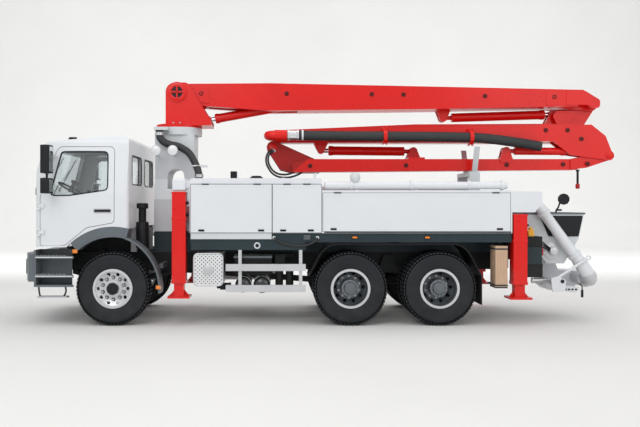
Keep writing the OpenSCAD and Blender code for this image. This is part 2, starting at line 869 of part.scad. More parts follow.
// Sub-frame: two beams on the rails, cross beams, side skirts and the rear arm housing
sub_x = [hinge_a[0] - 358, leg_2_x + 122];
skirt_x = [leg_1_x + 167, leg_2_x - 124];
skirt_z = deck_z - 139;
deep_skirt = [leg_1_x + 180, axle_2_x - 680];
deep_skirt_z = deck_z - 256;
cross_beam_x = [leg_1_x + 250, leg_1_x + 1200, axle_2_x - 550, back_axle_x - 675,
    back_axle_x + 530, leg_2_x - 268];
cross_beam_h = 110;
rear_box_x = [leg_2_x - 118, leg_2_x + 118];
rear_box_y = half_width - 250;
rear_arm_z = deck_z - 394;
box_wall = 20;
module support_frame() {
    color(BLUE_GREY) {
        difference() {
            union() {
                both_sides() {
                    block(sub_x, [-rail_y, -rail_y + rail_w], [rail_top, deck_z]);
                    block(skirt_x, [-skirt_y, -skirt_y + skirt_w], [skirt_z, deck_z]);
                    block(deep_skirt, [-skirt_y, -skirt_y + skirt_w], [deep_skirt_z, deck_z]);
                }
                for (x = cross_beam_x)
                    block([x, x + 120], [-skirt_y, skirt_y], [deck_z - cross_beam_h, deck_z]);
                block(rear_box_x, [-rear_box_y, rear_box_y],
                    [rear_arm_z - box_wall, rear_arm_z + arm_h + box_wall]);
            }
            rear_arm_tunnels();
        }
        both_sides() {
            timber_tray();
            block(locker_x, [-rear_box_y, -locker_inner_y], locker_z);
        }
    }
}

// Locker behind each rear leg
locker_x = [rear_box_x[1] - 5, rear_box_x[1] + 290];
locker_inner_y = rail_y + 275;
locker_z = [rear_arm_z - 295, rear_arm_z + 330];

// Tray that hangs from a cross beam and holds the timber plates
tray_t = 20;
module timber_tray() {
    block([timber_x[0], timber_x[1]], [-half_width + 25, timber_inner_y + tray_t],
        [timber_z[0] - tray_t, timber_z[0]]);
    block([cross_beam_x[5], timber_x[1]], [timber_inner_y, timber_inner_y + tray_t],
        [timber_z[0] - tray_t, deck_z - cross_beam_h / 2]);
}

// Tunnels in which the rear arms slide, side by side
module rear_arm_tunnels() {
    for (side = [-1, 1])
        arm_tunnel(leg_2_x + side * arm_pitch, rear_arm_z, rear_box_y);
}

// One tunnel: a slide fit below the arm, and room on its other sides
arm_pitch = arm_w / 2 + 5;
module arm_tunnel(x, z, y) {
    block([x - arm_w / 2 - slide_gap, x + arm_w / 2 + slide_gap], [-y - 1, y + 1],
        [z - slide_gap, z + arm_h + 5]);
}

// Pedestal: column under the turret, with the front arms' tunnels and an arched opening
ped_x = [sub_x[0], hinge_a[0] + 280];
ped_y = 330;
ped_top = hinge_a[1] - 575;
neck_z = ped_top - 125;
waist_top = deck_z + 846;
slew_r = 380;
front_arm_z = deck_z + 156;
front_casing = [front_arm_z - 920, front_arm_z + 470];
rear_casing = [rear_arm_z - 390, rear_arm_z + 680];
arch_x = [hinge_a[0] - 150, hinge_a[0] + 120];
ped_arch_z = [deck_z + 686, deck_z + 1016];
module pedestal() {
    color(LIGHT_GREY)
        difference() {
            union() {
                block(ped_x, [-rail_y, rail_y], [deck_z, deck_z + 520]);
                lengthwise(ped_x)
                    polygon([[-rail_y, deck_z + 520], [rail_y, deck_z + 520], [ped_y, waist_top],
                        [ped_y, neck_z], [-ped_y, neck_z], [-ped_y, waist_top]]);
                translate([hinge_a[0], 0, neck_z])
                    cylinder(r = slew_r, h = ped_top - neck_z);
                block([feed_path[0][0] - 80, feed_path[0][0] + 150],
                    [feed_path[0][1] - 75, -ped_y + 130], [feed_clamp_z, feed_clamp_z + 50]);
            }
            for (side = [-1, 1])
                arm_tunnel(leg_1_x + side * arm_pitch, front_arm_z, rail_y);
            across([-rail_y, rail_y])
                polygon(smooth([[arch_x[1], ped_arch_z[0]], [arch_x[1], ped_arch_z[1]],
                    [arch_x[0], ped_arch_z[1]], [arch_x[0], ped_arch_z[0]]], [20, 120, 120, 20]));
        }
}

// White side bodies of the pump, with their lids and door seams
seam = 8;
seam_x = leg_1_x + 2167;
body_y = half_width - 10;
rear_seams = [seam_x + 713, seam_x + 1433, seam_x + 2153];
rail_pipe_r = 24;
end_panel_t = 40;
end_panel_z = [rear_casing[1] + 30, rear_body_z - 18];
module pump_body() {
    color(WHITE)
        both_sides() {
            difference() {
                across([-body_y, -body_inner_y])
                    polygon(smooth([[skirt_x[1], deck_z], [skirt_x[1], rear_body_z],
                        [seam_x, rear_body_z], [seam_x, front_body_z], [skirt_x[0], front_body_z],
                        [skirt_x[0], deck_z]], [0, 40, 0, 40, 40, 0]));
                for (x = concat([seam_x], rear_seams))
                    block([x, x + seam], [-body_y - 1, -body_y + 6], [deck_z + 20, rear_body_z - 20]);
                block([skirt_x[0] + 30, seam_x - 30], [-body_y - 1, -body_y + 6],
                    [front_body_z - 90, front_body_z - 82]);
            }
            long_bar([-body_y + 120, rear_body_z + 75], rail_pipe_r, [seam_x + 500, skirt_x[1] - 100]);
            for (x = [seam_x + 520, rear_seams[1], skirt_x[1] - 140])
                block([x, x + 30], [-body_y + 105, -body_y + 135], [rear_body_z, rear_body_z + 75]);
            across([-body_y, -body_y + end_panel_t])
                polygon([[skirt_x[1] - 20, end_panel_z[0]], [hopper_x[0] - 80, end_panel_z[0]],
                    [hopper_x[0] + 40, end_panel_z[0] + 120], [hopper_x[0] + 40, end_panel_z[1]],
                    [skirt_x[1] - 20, end_panel_z[1]]]);
        }
}

// Delivery cylinders, water box and valve drive between the side bodies
pump_y = 170;
hopper_x = [leg_2_x + 292, leg_2_x + 1200];
module pump_unit() {
    color(GREY) {
        for (y = [-pump_y, pump_y])
            long_bar([y, deck_z + 150], 120, [hopper_x[0] - 2860, hopper_x[0]]);
        block([hopper_x[0] - 3100, hopper_x[0] - 2820], [-330, 330], [deck_z, deck_z + 310]);
        for (x = [hopper_x[0] - 4720, hopper_x[0] - 1660, hopper_x[0] - 600])
            block([x, x + 60], [-330, 330], [deck_z, deck_z + 290]);
        for (y = [-pump_y, pump_y])
            long_bar([y, deck_z + 150], 80, [hopper_x[0] - 4660, hopper_x[0] - 3060]);
    }
}

// Hopper: sloped front and back walls between upright sides, open on top
hopper_y = 660;
hopper_floor_z = hopper_z - 790;
hopper_floor_x = [hopper_x[0] + 320, hopper_x[1] - 320];
hopper_lean = 90;
module hopper() {
    color(GREY) {
        difference() {
            across([-hopper_y, hopper_y])
                polygon(hopper_outline());
            across([-hopper_y + hopper_wall, hopper_y - hopper_wall])
                polygon(concat([[hopper_x[1] - hopper_wall, hopper_z + 1]],
                    [[hopper_x[0] + hopper_wall, hopper_z + 1]],
                    [[hopper_x[0] + hopper_wall, hopper_z - 400]],
                    [[hopper_floor_x[0] + hopper_wall, hopper_floor_z + hopper_wall]],
                    [[hopper_floor_x[1] - hopper_wall, hopper_floor_z + hopper_wall]],
                    [[hopper_x[1] - hopper_lean - hopper_wall, hopper_z - 400]]));
        }
        block([sub_x[1], hopper_x[0] + 10], [-rail_y, -rail_y + rail_w], [deck_z - 160, deck_z]);
        block([sub_x[1], hopper_x[0] + 10], [rail_y - rail_w, rail_y], [deck_z - 160, deck_z]);
        delivery_pipe();
    }
}

function hopper_outline() = [[hopper_x[1], hopper_z], [hopper_x[0], hopper_z],
    [hopper_x[0], hopper_z - 400], [hopper_floor_x[0], hopper_floor_z],
    [hopper_floor_x[1], hopper_floor_z], [hopper_x[1] - hopper_lean, hopper_z - 400]];

// Valve housing under the hopper, and the white delivery pipe that slopes up on the left
pipe_y = -hopper_y - pipe_r - 12;
pipe_low = [hopper_x[1] + 62, hopper_floor_z - 210];
pipe_high = [hopper_x[0] + 170, hopper_z + 100];
module delivery_pipe() {
    rod_between([pipe_low[0], pipe_y, pipe_low[1]], [pipe_high[0], pipe_y, pipe_high[1]], pipe_r);
    translate([pipe_low[0], pipe_y, pipe_low[1]])
        sphere(r = pipe_r + 14);
    cross_bar(pipe_low, pipe_r, [pipe_y, -200]);
    across([-300, 120])
        polygon([[hopper_floor_x[0] + 60, hopper_floor_z + 5], [hopper_floor_x[0] + 60, pipe_low[1] - 170],
            [hopper_floor_x[0] + 160, pipe_low[1] - 250], [pipe_low[0] - 170, pipe_low[1] - 250],
            pipe_low + [60, -90], pipe_low + [60, 60], [hopper_floor_x[1] + 40, pipe_low[1] + 80],
            [hopper_floor_x[1] - 10, hopper_floor_z + 5]]);
    block([hopper_x[0] + 400, hopper_x[0] + 480], [pipe_y, -hopper_y + 5], [hopper_z - 350, hopper_z - 250]);
}

// Rest for the folded boom: a post on each sub-frame beam, a cross beam and two flared guides
rest_x = [leg_2_x - 557, leg_2_x - 393];
rest_y = [-300, 40];
module boom_rest() {
    rest_z = boom3_under((rest_x[0] + rest_x[1]) / 2) - move_gap;
    color(LIGHT_GREY) {
        both_sides()
            block(rest_x, [-rail_y, -rail_y + rail_w], [deck_z, rest_z - 90]);
        block(rest_x, [-rail_y, rail_y], [rest_z - 90, rest_z - 20]);
        block([rest_x[0] + 20, rest_x[1] - 20], rest_y, [rest_z - 20, rest_z]);
        lengthwise([rest_x[0] + 40, rest_x[1] - 40]) {
            polygon([[-410, rest_z - 40], [-380, rest_z - 40], [-560, rest_z + 380],
                [-590, rest_z + 380]]);
            polygon([[120, rest_z - 40], [150, rest_z - 40], [330, rest_z + 380], [300, rest_z + 380]]);
        }
    }
}

// Stack of timber packing plates for the feet, in a tray beside the rear leg
timber_x = [leg_2_x - 373, leg_2_x - 188];
timber_z = [589, 1208];
timber_t = 65;
timber_n = 4;
timber_inner_y = -half_width + 30 + timber_n * (timber_t + 5);
module timber_blocks() {
    color(TIMBER)
        both_sides()
            for (i = [0:timber_n - 1])
                translate([0, -half_width + 30 + i * (timber_t + 5), 0])
                    block(timber_x, [0, timber_t], timber_z);
}

// Hoses from the pedestal's foot up to the turret, held by a bracket on the front body
feed_hose_r = 58;
feed_clamp_z = ped_top - 65;
feed_top_y = -ped_y - 110;
feed_foot_y = -body_inner_y - 70;
// Each point: its distance behind the boom pivot, and its shares of the way out and up
feed_shape = [[-270, 0, 1], [-270, 0, 0.93], [-250, 0.01, 0.84], [-190, 0.03, 0.76], [-90, 0.04, 0.71],
    [30, 0.06, 0.68], [140, 0.1, 0.61], [230, 0.2, 0.52], [300, 0.37, 0.39], [360, 0.6, 0.25],
    [395, 0.86, 0.14], [410, 1, 0.07], [410, 1, 0]];
feed_path = [for (p = feed_shape) [hinge_a[0] + p[0], feed_top_y + p[1] * (feed_foot_y - feed_top_y),
    front_body_z + p[2] * (feed_clamp_z - front_body_z)]];
module feed_hoses() {
    color(RUBBER)
        tube_along(feed_path, feed_hose_r, 10);
}

// A round tube along a route of points, swept as one closed skin
function ring(p, d, r, n) = let (
    side = cross(d, abs(d[1]) < 0.9 ? [0, 1, 0] : [1, 0, 0]), u = side / norm(side), v = cross(u, d))
    [for (k = [0:n - 1]) p + r * (cos(360 * k / n) * u + sin(360 * k / n) * v)];
function heading(path, i) = let (
    a = path[max(i - 1, 0)], b = path[min(i + 1, len(path) - 1)]) (b - a) / norm(b - a);
module tube_along(path, r, n) {
    last = len(path) - 1;
    points = [for (i = [0:last]) each ring(path[i], heading(path, i), r, n)];
    walls = [for (i = [0:last - 1]) for (k = [0:n - 1])
        let (a = i * n + k, b = i * n + (k + 1) % n) [a, b, b + n, a + n]];
    ends = [[for (k = [0:n - 1]) n - 1 - k], [for (k = [0:n - 1]) last * n + k]];
    polyhedron(points, concat(walls, ends));
}

// Boom: lanes, hinge plates and the cylinders that fold it
lane1 = [-boom1_w / 2, boom1_w / 2];
lane2 = [lane2_y - boom2_w / 2, lane2_y + boom2_w / 2];
lane3 = [lane3_y - boom3_w / 2, lane3_y + boom3_w / 2];
lane4 = [lane4_y - boom4_w / 2, lane4_y + boom4_w / 2];
cheek_gap = 10;
cheek_left = [lane2[0] - cheek_gap - cheek_t, lane2[0] - cheek_gap];
cheek_right = [lane2[1] + cheek_gap, lane2[1] + cheek_gap + cheek_t];
plate_t = 30;
plate_left = [lane4[0], lane4[0] + plate_t];
plate_right = [lane4[1] - plate_t, lane4[1]];
tongue = [plate_left[1] + 5, plate_right[0] - 5];
hub2 = [cheek_left[1] + 5, cheek_right[0] - 5];
eye_r = 62;
lug_t = 30;
lug_in = eye_half_w + 6;

// Ends of each cylinder: the barrel's pivot, and the pin at the rod's eye
root_a = hinge_a + barrel_a_at;
tip_a = hinge_a + eye_a_at;
root_b = hinge_b + barrel_b_at;
tip_b = hinge_b + eye_b_at;
root_c = hinge_c + barrel_c_at;
tip_c = hinge_c + eye_c_at;
root_d = hinge_d + barrel_d_at;
tip_d = hinge_d + eye_d_at;

// Turns a shape that lies along +X to point from p to q, in the plane at y
module aimed(p, q, y) {
    translate([p[0], y, p[1]])
        rotate([0, -atan2(q[1] - p[1], q[0] - p[0]), 0])
            children();
}

// Cylinder barrel from its pivot eye, over a narrow neck between the lugs, to its gland
gland = 130;
neck = 150;
module barrel(p, q, y, r = barrel_r) {
    len = norm(q - p);
    color(RED)
        aimed(p, q, y)
            difference() {
                union() {
                    cross_bar([0, 0], eye_r, [-eye_half_w, eye_half_w]);
                    long_bar([0, 0], eye_half_w - 5, [0, neck + 10]);
                    long_bar([0, 0], r, [neck, len - gland]);
                    long_bar([0, 0], r + 8, [len - gland - 70, len - gland - 10]);
                }
                cross_bar([0, 0], cyl_pin_r + fit_gap, [-eye_half_w - 1, eye_half_w + 1]);
                long_bar([0, 0], rod_r + fit_gap, [neck + 30, len]);
            }
}

// Piston rod with its eye, which stands between the lugs it works on
module piston_rod(p, q, y) {
    len = norm(q - p);
    color(STEEL)
        aimed(p, q, y)
            difference() {
                union() {
                    long_bar([0, 0], rod_r, [neck + 40, len - 45]);
                    cross_bar([len, 0], eye_r, [-eye_half_w, eye_half_w]);
                }
                cross_bar([len, 0], cyl_pin_r, [-eye_half_w - 1, eye_half_w + 1]);
            }
}

// Two lugs beside an eye, drawn from one outline
module lug_pair(y) {
    for (s = [[-lug_in - lug_t, -lug_in], [lug_in, lug_in + lug_t]])
        across([y + s[0], y + s[1]])
            children();
}

// Pin through a barrel's pivot eye, held by the lugs beside it
module pivot_pin(p, y) {
    cross_bar(p, cyl_pin_r, [y - lug_in - lug_t, y + lug_in + lug_t]);
}

// Turret: slewing plate, two side plates, the boom pin and the lift cylinder's lugs
flange_z = [ped_top + 0.3, ped_top + 55];
turret_y = [boom1_w / 2 + 35, boom1_w / 2 + 75];
boom_pin_r = 60;
turret_top = hinge_a[1] + 159;
module turret() {
    back_x = hinge_a[0] - 190;
    color(RED) {
        translate([hinge_a[0], 0, flange_z[0]])
            cylinder(r = slew_r, h = flange_z[1] - flange_z[0]);
        block([back_x, tip_a[0] + 80], [-turret_y[1], turret_y[1]], [flange_z[1] - 25, flange_z[1]]);
        both_sides() {
            across([-turret_y[1], -turret_y[0]])
                polygon(smooth([[back_x, flange_z[1]], [tip_a[0] + 80, flange_z[1]],
                    [tip_a[0] + 80, flange_z[1] + 60], [hinge_a[0] + 170, turret_top],
                    [back_x, turret_top]], [0, 0, 30, 90, 155]));
            cross_bar(hinge_a, 165, [-turret_y[1] - 20, -turret_y[1]]);
        }
        cross_bar(hinge_a, boom_pin_r, [-turret_y[1] - 30, turret_y[1] + 30]);
        lug_pair(0)
            polygon(concat([[tip_a[0] - 140, flange_z[1] - 5], [tip_a[0] + 78, flange_z[1] - 5]],
                arc(tip_a, eye_r + 10, 0, 150)));
    }
}

// First section: root hub, box beam with the lift cylinder's slot, and the fork at its tip
hub_a_r = 150;
module boom_1() {
    color(RED) {
        difference() {
            union() {
                across(lane1)
                    polygon([hinge_a + [0, -140], hinge_a + [375, -213], hinge_a + [1523, -295],
                        hinge_b + [-2887, -90], hinge_b + [-270, -45], hinge_b + [-170, 229],
                        hinge_b + [-2887, 287], hinge_a + [1523, 158], hinge_a + [0, 148]]);
                cross_bar(hinge_a, hub_a_r, [lane1[0] - 10, lane1[1] + 10]);
                boom_fork();
            }
            cross_bar(hinge_a, boom_pin_r + fit_gap, [-half_width, half_width]);
            block([tip_a[0] + 16, root_a[0] + 130], [-112, 112], [hinge_a[1] - 380, root_a[1] + 150]);
        }
        cross_bar(root_a, cyl_pin_r, [-130, 130]);
        lug_pair(lane2_y)
            polygon(concat(arc(root_b, eye_r + 8, 180, 360),
                [root_b + [120, 130], root_b + [-120, 130]]));
        pivot_pin(root_b, lane2_y);
    }
}

// Fork plates and pin that carry the second section
module boom_fork() {
    for (y = [cheek_left, cheek_right])
        across(y)
            polygon(concat([hinge_b + [-770, -40]], arc(hinge_b, 105, -80, 80),
                [hinge_b + [-270, 229], hinge_b + [-770, 240]]));
    block([hinge_b[0] - 720, hinge_b[0] - 280], [0, cheek_right[1]],
        [hinge_b[1] + 20, hinge_b[1] + 190]);
    cross_bar(hinge_b, pin_r, [cheek_left[0], cheek_right[1]]);
}

// Second section: from the head on the fork down to the beam, and along it to its tail hub
module boom_2() {
    color(RED)
        difference() {
            union() {
                across(lane2)
                    polygon(concat([hinge_c + [28, 80], hinge_b + [-520, -630], hinge_b + [-230, -540]],
                        arc(hinge_b, 98, -15, 150), [hinge_b + [-500, -310], hinge_b + [-2920, -320],
                        hinge_c + [278, 300], hinge_c + [-82, 60]]));
                cross_bar(hinge_b, 98, hub2);
                cross_bar(hinge_c, 100, hub2);
                lug_pair(lane2_y)
                    polygon(concat([tip_b + [-150, -190], tip_b + [150, -190]],
                        arc(tip_b, eye_r, 0, 180)));
                lug_pair(lane2_y)
                    polygon(concat(arc(tip_c, eye_r, 180, 360),
                        [tip_c + [130, 140], tip_c + [-130, 140]]));
            }
            cross_bar(hinge_b, pin_r + fit_gap, [lane4[0], half_width]);
            cross_bar(hinge_c, pin_r + fit_gap, [lane4[0], half_width]);
        }
}

// Third section: knuckle plates on the tail hub, the lower beam, and the tongue at its tip
boom3_z = [hinge_c[1] - 422, hinge_c[1] - 205];
boom3_x = [hinge_c[0] + 318, hinge_d[0] - 520];
boom3_rise = 40;
function boom3_under(x) =
    boom3_z[0] + boom3_rise * (x - boom3_x[0]) / (boom3_x[1] - boom3_x[0]);
module boom_3() {
    color(RED) {
        difference() {
            union() {
                across(lane3)
                    polygon([[boom3_x[0], boom3_z[0]], [boom3_x[1], boom3_z[0] + boom3_rise],
                        [boom3_x[1] + 100, boom3_z[0] + 90], [boom3_x[1] + 100, boom3_z[1]],
                        [boom3_x[0] + 260, boom3_z[1]], [boom3_x[0], boom3_z[1] - 80]]);
                across(tongue)
                    polygon(concat([[boom3_x[1] - 100, boom3_z[0] + 50], [boom3_x[1] + 150, boom3_z[0] + 70]],
                        arc(hinge_d, tip_r - 5, -70, 110), [[boom3_x[1] - 100, boom3_z[1]]]));
            }
            cross_bar(hinge_d, pin_r + fit_gap, [lane4[0] - 1, lane4[1] + 1]);
        }
        for (y = [cheek_left, cheek_right])
            across(y)
                polygon(concat(arc(hinge_c, 110, 55, 235), [hinge_c + [118, -370], [boom3_x[0], boom3_z[0]],
                    hinge_c + [778, -422], hinge_c + [778, -230]]));
        block([boom3_x[0], boom3_x[0] + 440], [lane3[1] - 50, cheek_right[1]], [boom3_z[0], boom3_z[1] - 80]);
        cross_bar(hinge_c, pin_r, [cheek_left[0], cheek_right[1]]);
        block([root_c[0] - 133, root_c[0] + 137], [lane3[0] + 20, lane2_y + lug_in + lug_t],
            [boom3_z[1] - 40, boom3_z[1] + 30]);
        lug_pair(lane2_y)
            polygon(concat([[root_c[0] - 130, boom3_z[1]], [root_c[0] + 130, boom3_z[1]]],
                arc(root_c, eye_r + 8, 0, 180)));
        pivot_pin(root_c, lane2_y);
        block([root_d[0] - 100, root_d[0] + 100], [lane4_y - lug_in - lug_t, lane4_y + lug_in + lug_t],
            [boom3_z[1] - 50, boom3_z[1] + 30]);
        lug_pair(lane4_y)
            polygon(concat([[root_d[0] - 100, boom3_z[1]], [root_d[0] + 100, boom3_z[1]]],
                arc(root_d, eye_r + 3, 0, 180)));
        pivot_pin(root_d, lane4_y);
    }
}

// Fourth section: plates on the tongue, the beam, and the pipe bend that carries the end hose
hose_y = lane4[0] - hose_r - 10;
hose_z = hinge_d[1] + 323;
boom4_x = hinge_d[0] - boom4_len;
bend_x = boom4_x - 254;
hose_start = bend_x + 204;
clamp_x = [hinge_d[0] - 3682, hinge_d[0] - 2285];
clamp_z = [hinge_d[1] + 305, hinge_d[1] + 285];
module boom_4() {
    bend = (lane4_y - hose_y) / 2;
    color(RED) {
        across(lane4)
            polygon([[boom4_x, hinge_d[1] + 260], hinge_d + [-820, 230], hinge_d + [-300, 240],
                hinge_d + [-300, 500], hinge_d + [-820, 510], [boom4_x, hinge_d[1] + 405]]);
        for (y = [plate_left, plate_right])
            across(y)
                polygon(concat([hinge_d + [-640, 10]], arc(hinge_d, tip_r - 2, -95, 60),
                    [hinge_d + [-60, 320], hinge_d + [-290, 505], hinge_d + [-920, 500],
                    hinge_d + [-920, 235]]));
        for (y = [plate_left, plate_right])
            cross_bar(hinge_d, tip_r, y);
        cross_bar(hinge_d, pin_r, lane4);
        for (s = [[-boom4_w / 2 + plate_t - 1, -lug_in], [lug_in, boom4_w / 2 - plate_t + 1]])
            cross_bar(tip_d, eye_r, [lane4_y + s[0], lane4_y + s[1]]);
        long_bar([lane4_y, hose_z], hose_r - 4, [bend_x, boom4_x + 10]);
        translate([bend_x, lane4_y - bend, hose_z])
            rotate([0, 0, 90])
                rotate_extrude(angle = 180)
                    translate([bend, 0])
                        circle(r = hose_r - 4);
        long_bar([hose_y, hose_z], hose_r + 6, [bend_x, hose_start]);
        for (i = [0, 1])
            difference() {
                long_bar([hose_y, clamp_z[i]], hose_r + 22, [clamp_x[i] - 30, clamp_x[i] + 30]);
                long_bar([hose_y, clamp_z[i]], hose_r + 4, [clamp_x[i] - 31, clamp_x[i] + 31]);
            }
    }
}

// End hose: from the bend's coupling back along the fourth section, drooping past its last clamp
hose_points = [[-5270, 323], [-5180, 323], [-4820, 316], [-4420, 310], [-4020, 307], [-3682, 305],
    [-3320, 302], [-2920, 298], [-2570, 292], [-2285, 285], [-2120, 275], [-1920, 256], [-1720, 230],
    [-1520, 201], [-1320, 169], [-1155, 140]];
module end_hose() {
    color(RUBBER)
        tube_along([for (p = hose_points) [hinge_d[0] + p[0], hose_y, hinge_d[1] + p[1]]], hose_r, 12);
}

// Outriggers: an arm that slides out of its tunnel, with a leg casing at its end
casing_y = half_width - 4;
arm_inner_y = casing_y - leg_w - 30;
casing_wall = (leg_w - inner_leg_w) / 2 - 6;
module outrigger_arm(x, arm_x, z, casing_z) {
    slot = leg_w / 2 - casing_wall;
    mid_y = -casing_y + leg_w / 2;
    color(RED)
        difference() {
            union() {
                block([arm_x - arm_w / 2, arm_x + arm_w / 2],
                    [-casing_y + leg_w - 10, arm_inner_y], [z, z + arm_h]);
                block([x - leg_w / 2, x + leg_w / 2], [-casing_y, -casing_y + leg_w], casing_z);
            }
            block([x - slot, x + slot], [mid_y - slot, mid_y + slot],
                [casing_z[0] - 1, casing_z[1] - casing_wall]);
        }
}

// Inner leg with its foot plate, seated on the casing's inner faces
module outrigger_leg(x, foot_z, casing_z) {
    mid_y = -casing_y + leg_w / 2;
    slot = leg_w / 2 - casing_wall - slide_gap;
    color(RED) {
        block([x - inner_leg_w / 2, x + inner_leg_w / 2],
            [mid_y - inner_leg_w / 2, mid_y + inner_leg_w / 2], [foot_z + 30, casing_z[1] - 60]);
        block([x - slot, x + slot], [mid_y - slot, mid_y + slot], [casing_z[1] - 260, casing_z[1] - 60]);
        block([x - foot_w / 2, x + foot_w / 2], [mid_y - 150, mid_y + foot_w - 150],
            [foot_z, foot_z + 30]);
    }
}

module arm_front_left() {
    outrigger_arm(leg_1_x, leg_1_x - arm_pitch, front_arm_z, front_casing);
}

module arm_front_right() {
    mirror([0, 1, 0])
        outrigger_arm(leg_1_x, leg_1_x + arm_pitch, front_arm_z, front_casing);
}

module arm_rear_left() {
    outrigger_arm(leg_2_x, leg_2_x - arm_pitch, rear_arm_z, rear_casing);
}

module arm_rear_right() {
    mirror([0, 1, 0])
        outrigger_arm(leg_2_x, leg_2_x + arm_pitch, rear_arm_z, rear_casing);
}

module leg_front(side) {
    mirror([0, side > 0 ? 1 : 0, 0])
        outrigger_leg(leg_1_x, front_foot_z, front_casing);
}

module leg_rear(side) {
    mirror([0, side > 0 ? 1 : 0, 0])
        outrigger_leg(leg_2_x, rear_foot_z, rear_casing);
}

// Head lamps in the bumper, roof markers and amber side markers
marker = [70, 16, 26];
marker_x = [leg_1_x + 350, axle_2_x + 30, back_axle_x - 220];
module lamps() {
    color(AMBER)
        both_sides() {
            block([front_x + 3, front_x + 30], [-lamp_y[1] + slide_gap, -lamp_y[0] - slide_gap],
                [lamp_z[0] + slide_gap, lamp_z[1] - slide_gap]);
            for (x = marker_x)
                translate([x, -skirt_y - marker[1], skirt_z + 60])
                    cube(marker);
            translate([locker_x[1], -rear_box_y + 20, rear_arm_z + 40])
                cube([28, 240, 120]);
        }
}

// Two-arched guards over the rear wheels, with a flap behind and brackets to the sub-frame
rear_guard_y = [605, half_width - 4];
rear_guard_r = 640;
rear_guard_t = 14;
rear_guard_top = 1246;
flap_z = 317;
module rear_mudguards() {
    color(DARK)
        both_sides() {
            across([-rear_guard_y[1], -rear_guard_y[0]])
                difference() {
                    polygon(smooth([[back_axle_x + rear_guard_r, axle_z + 190],
                        [back_axle_x + 380, rear_guard_top], [axle_2_x - 380, rear_guard_top],
                        [axle_2_x - rear_guard_r, axle_z + 190]], [0, 330, 330, 0]));
                    polygon(smooth([[back_axle_x + rear_guard_r - rear_guard_t, axle_z + 189],
                        [back_axle_x + 375, rear_guard_top - rear_guard_t],
                        [axle_2_x - 375, rear_guard_top - rear_guard_t],
                        [axle_2_x - rear_guard_r + rear_guard_t, axle_z + 189]], [0, 320, 320, 0]));
                }
            block([back_axle_x + rear_guard_r - rear_guard_t, back_axle_x + rear_guard_r],
                [-rear_guard_y[1] + 10, -rear_guard_y[0]], [flap_z, axle_z + 195]);
            for (x = [cross_beam_x[3], cross_beam_x[2]])
                block([x, x + 80], [-700, -640], [rear_guard_top - 5, deck_z - cross_beam_h]);
        }
}

// Silencer box with its pipe, under the left side of the sub-frame
silencer_x = [leg_1_x + 232, leg_1_x + 664];
silencer_z = [625, 1090];
module silencer() {
    color(STEEL) {
        lengthwise(silencer_x)
            polygon(rounded([-half_width + 20, silencer_z[0]], [-rail_y - 160, silencer_z[1]], 60));
        block([silencer_x[0] + 80, silencer_x[1] - 80], [-rail_y - 165, -rail_y],
            [rail_z + 80, rail_z + 200]);
        rod_between([silencer_x[1] - 60, -900, silencer_z[0] + 5],
            [silencer_x[1] - 60, -900, silencer_z[0] - 90], 55);
        long_bar([-900, silencer_z[0] - 60], 55, [silencer_x[1] - 60, silencer_x[1] + 90]);
    }
}

// Air tanks on the left and the fuel tank on the right, each on brackets to the rail
air_tank_x = [[leg_1_x + 846, leg_1_x + 1088], [leg_1_x + 1126, leg_1_x + 1382]];
fuel_tank_x = [leg_1_x + 232, leg_1_x + 1600];
module tanks() {
    color(STEEL) {
        for (x = air_tank_x) {
            translate([(x[0] + x[1]) / 2, 0, 608])
                cross_bar([0, 0], (x[1] - x[0]) / 2, [-half_width + 180, -560]);
            block([(x[0] + x[1]) / 2 - 30, (x[0] + x[1]) / 2 + 30], [-700, -rail_y], [rail_z, rail_z + 60]);
            block([(x[0] + x[1]) / 2 - 30, (x[0] + x[1]) / 2 + 30], [-700, -600], [608, rail_z + 60]);
        }
        lengthwise(fuel_tank_x)
            polygon(rounded([rail_y + 60, 520], [half_width - 40, 1090], 110));
        for (x = [fuel_tank_x[0] + 200, fuel_tank_x[1] - 260])
            block([x, x + 60], [rail_y, rail_y + 65], [rail_z + 40, rail_top - 40]);
    }
}

// Side guards: two rails on two posts that hang from the skirt
guard_x = [silencer_x[1] + 46, axle_2_x - 680];
guard_rails = [[831, 936], [513, 619]];
post_x = [guard_x[0] + 190, guard_x[1] - 100];
module side_guards() {
    color(LIGHT_GREY) {
        for (z = guard_rails)
            block(guard_x, [-half_width + 10, -half_width + 40], z);
        for (x = post_x)
            block([x, x + 50], [-half_width + 40, -half_width + 80], [guard_rails[1][0], deep_skirt_z]);
    }
}

chassis_frame();
support_frame();
axles();
engine_block();
cab_shell();
cab_glass();
cab_interior();
front_bumper();
lamps();
rear_mudguards();
silencer();
tanks();
side_guards();
pedestal();
pump_body();
pump_unit();
hopper();
boom_rest();
timber_blocks();
feed_hoses();
knuckle_left();
knuckle_right();
front_tyre(-1);  // tyre_front_left
front_tyre(1);  // tyre_front_right
twin_tyres(axle_2_x, -1);  // tyre_mid_left
twin_tyres(axle_2_x, 1);  // tyre_mid_right
twin_tyres(back_axle_x, -1);  // tyre_back_left
twin_tyres(back_axle_x, 1);  // tyre_back_right
front_rim(-1);  // rim_front_left
front_rim(1);  // rim_front_right
twin_rim(axle_2_x, -1);  // rim_mid_left
twin_rim(axle_2_x, 1);  // rim_mid_right
twin_rim(back_axle_x, -1);  // rim_back_left
twin_rim(back_axle_x, 1);  // rim_back_right
door_left();
door_right();
door_glass_left();
door_glass_right();
turret();
boom_1();
boom_2();
boom_3();
boom_4();
end_hose();
barrel(root_a, tip_a, 0);  // barrel_a
piston_rod(root_a, tip_a, 0);  // rod_a
barrel(root_b, tip_b, lane2_y);  // barrel_b
piston_rod(root_b, tip_b, lane2_y);  // rod_b
barrel(root_c, tip_c, lane2_y);  // barrel_c
piston_rod(root_c, tip_c, lane2_y);  // rod_c
barrel(root_d, tip_d, lane4_y, barrel_d_r);  // barrel_d
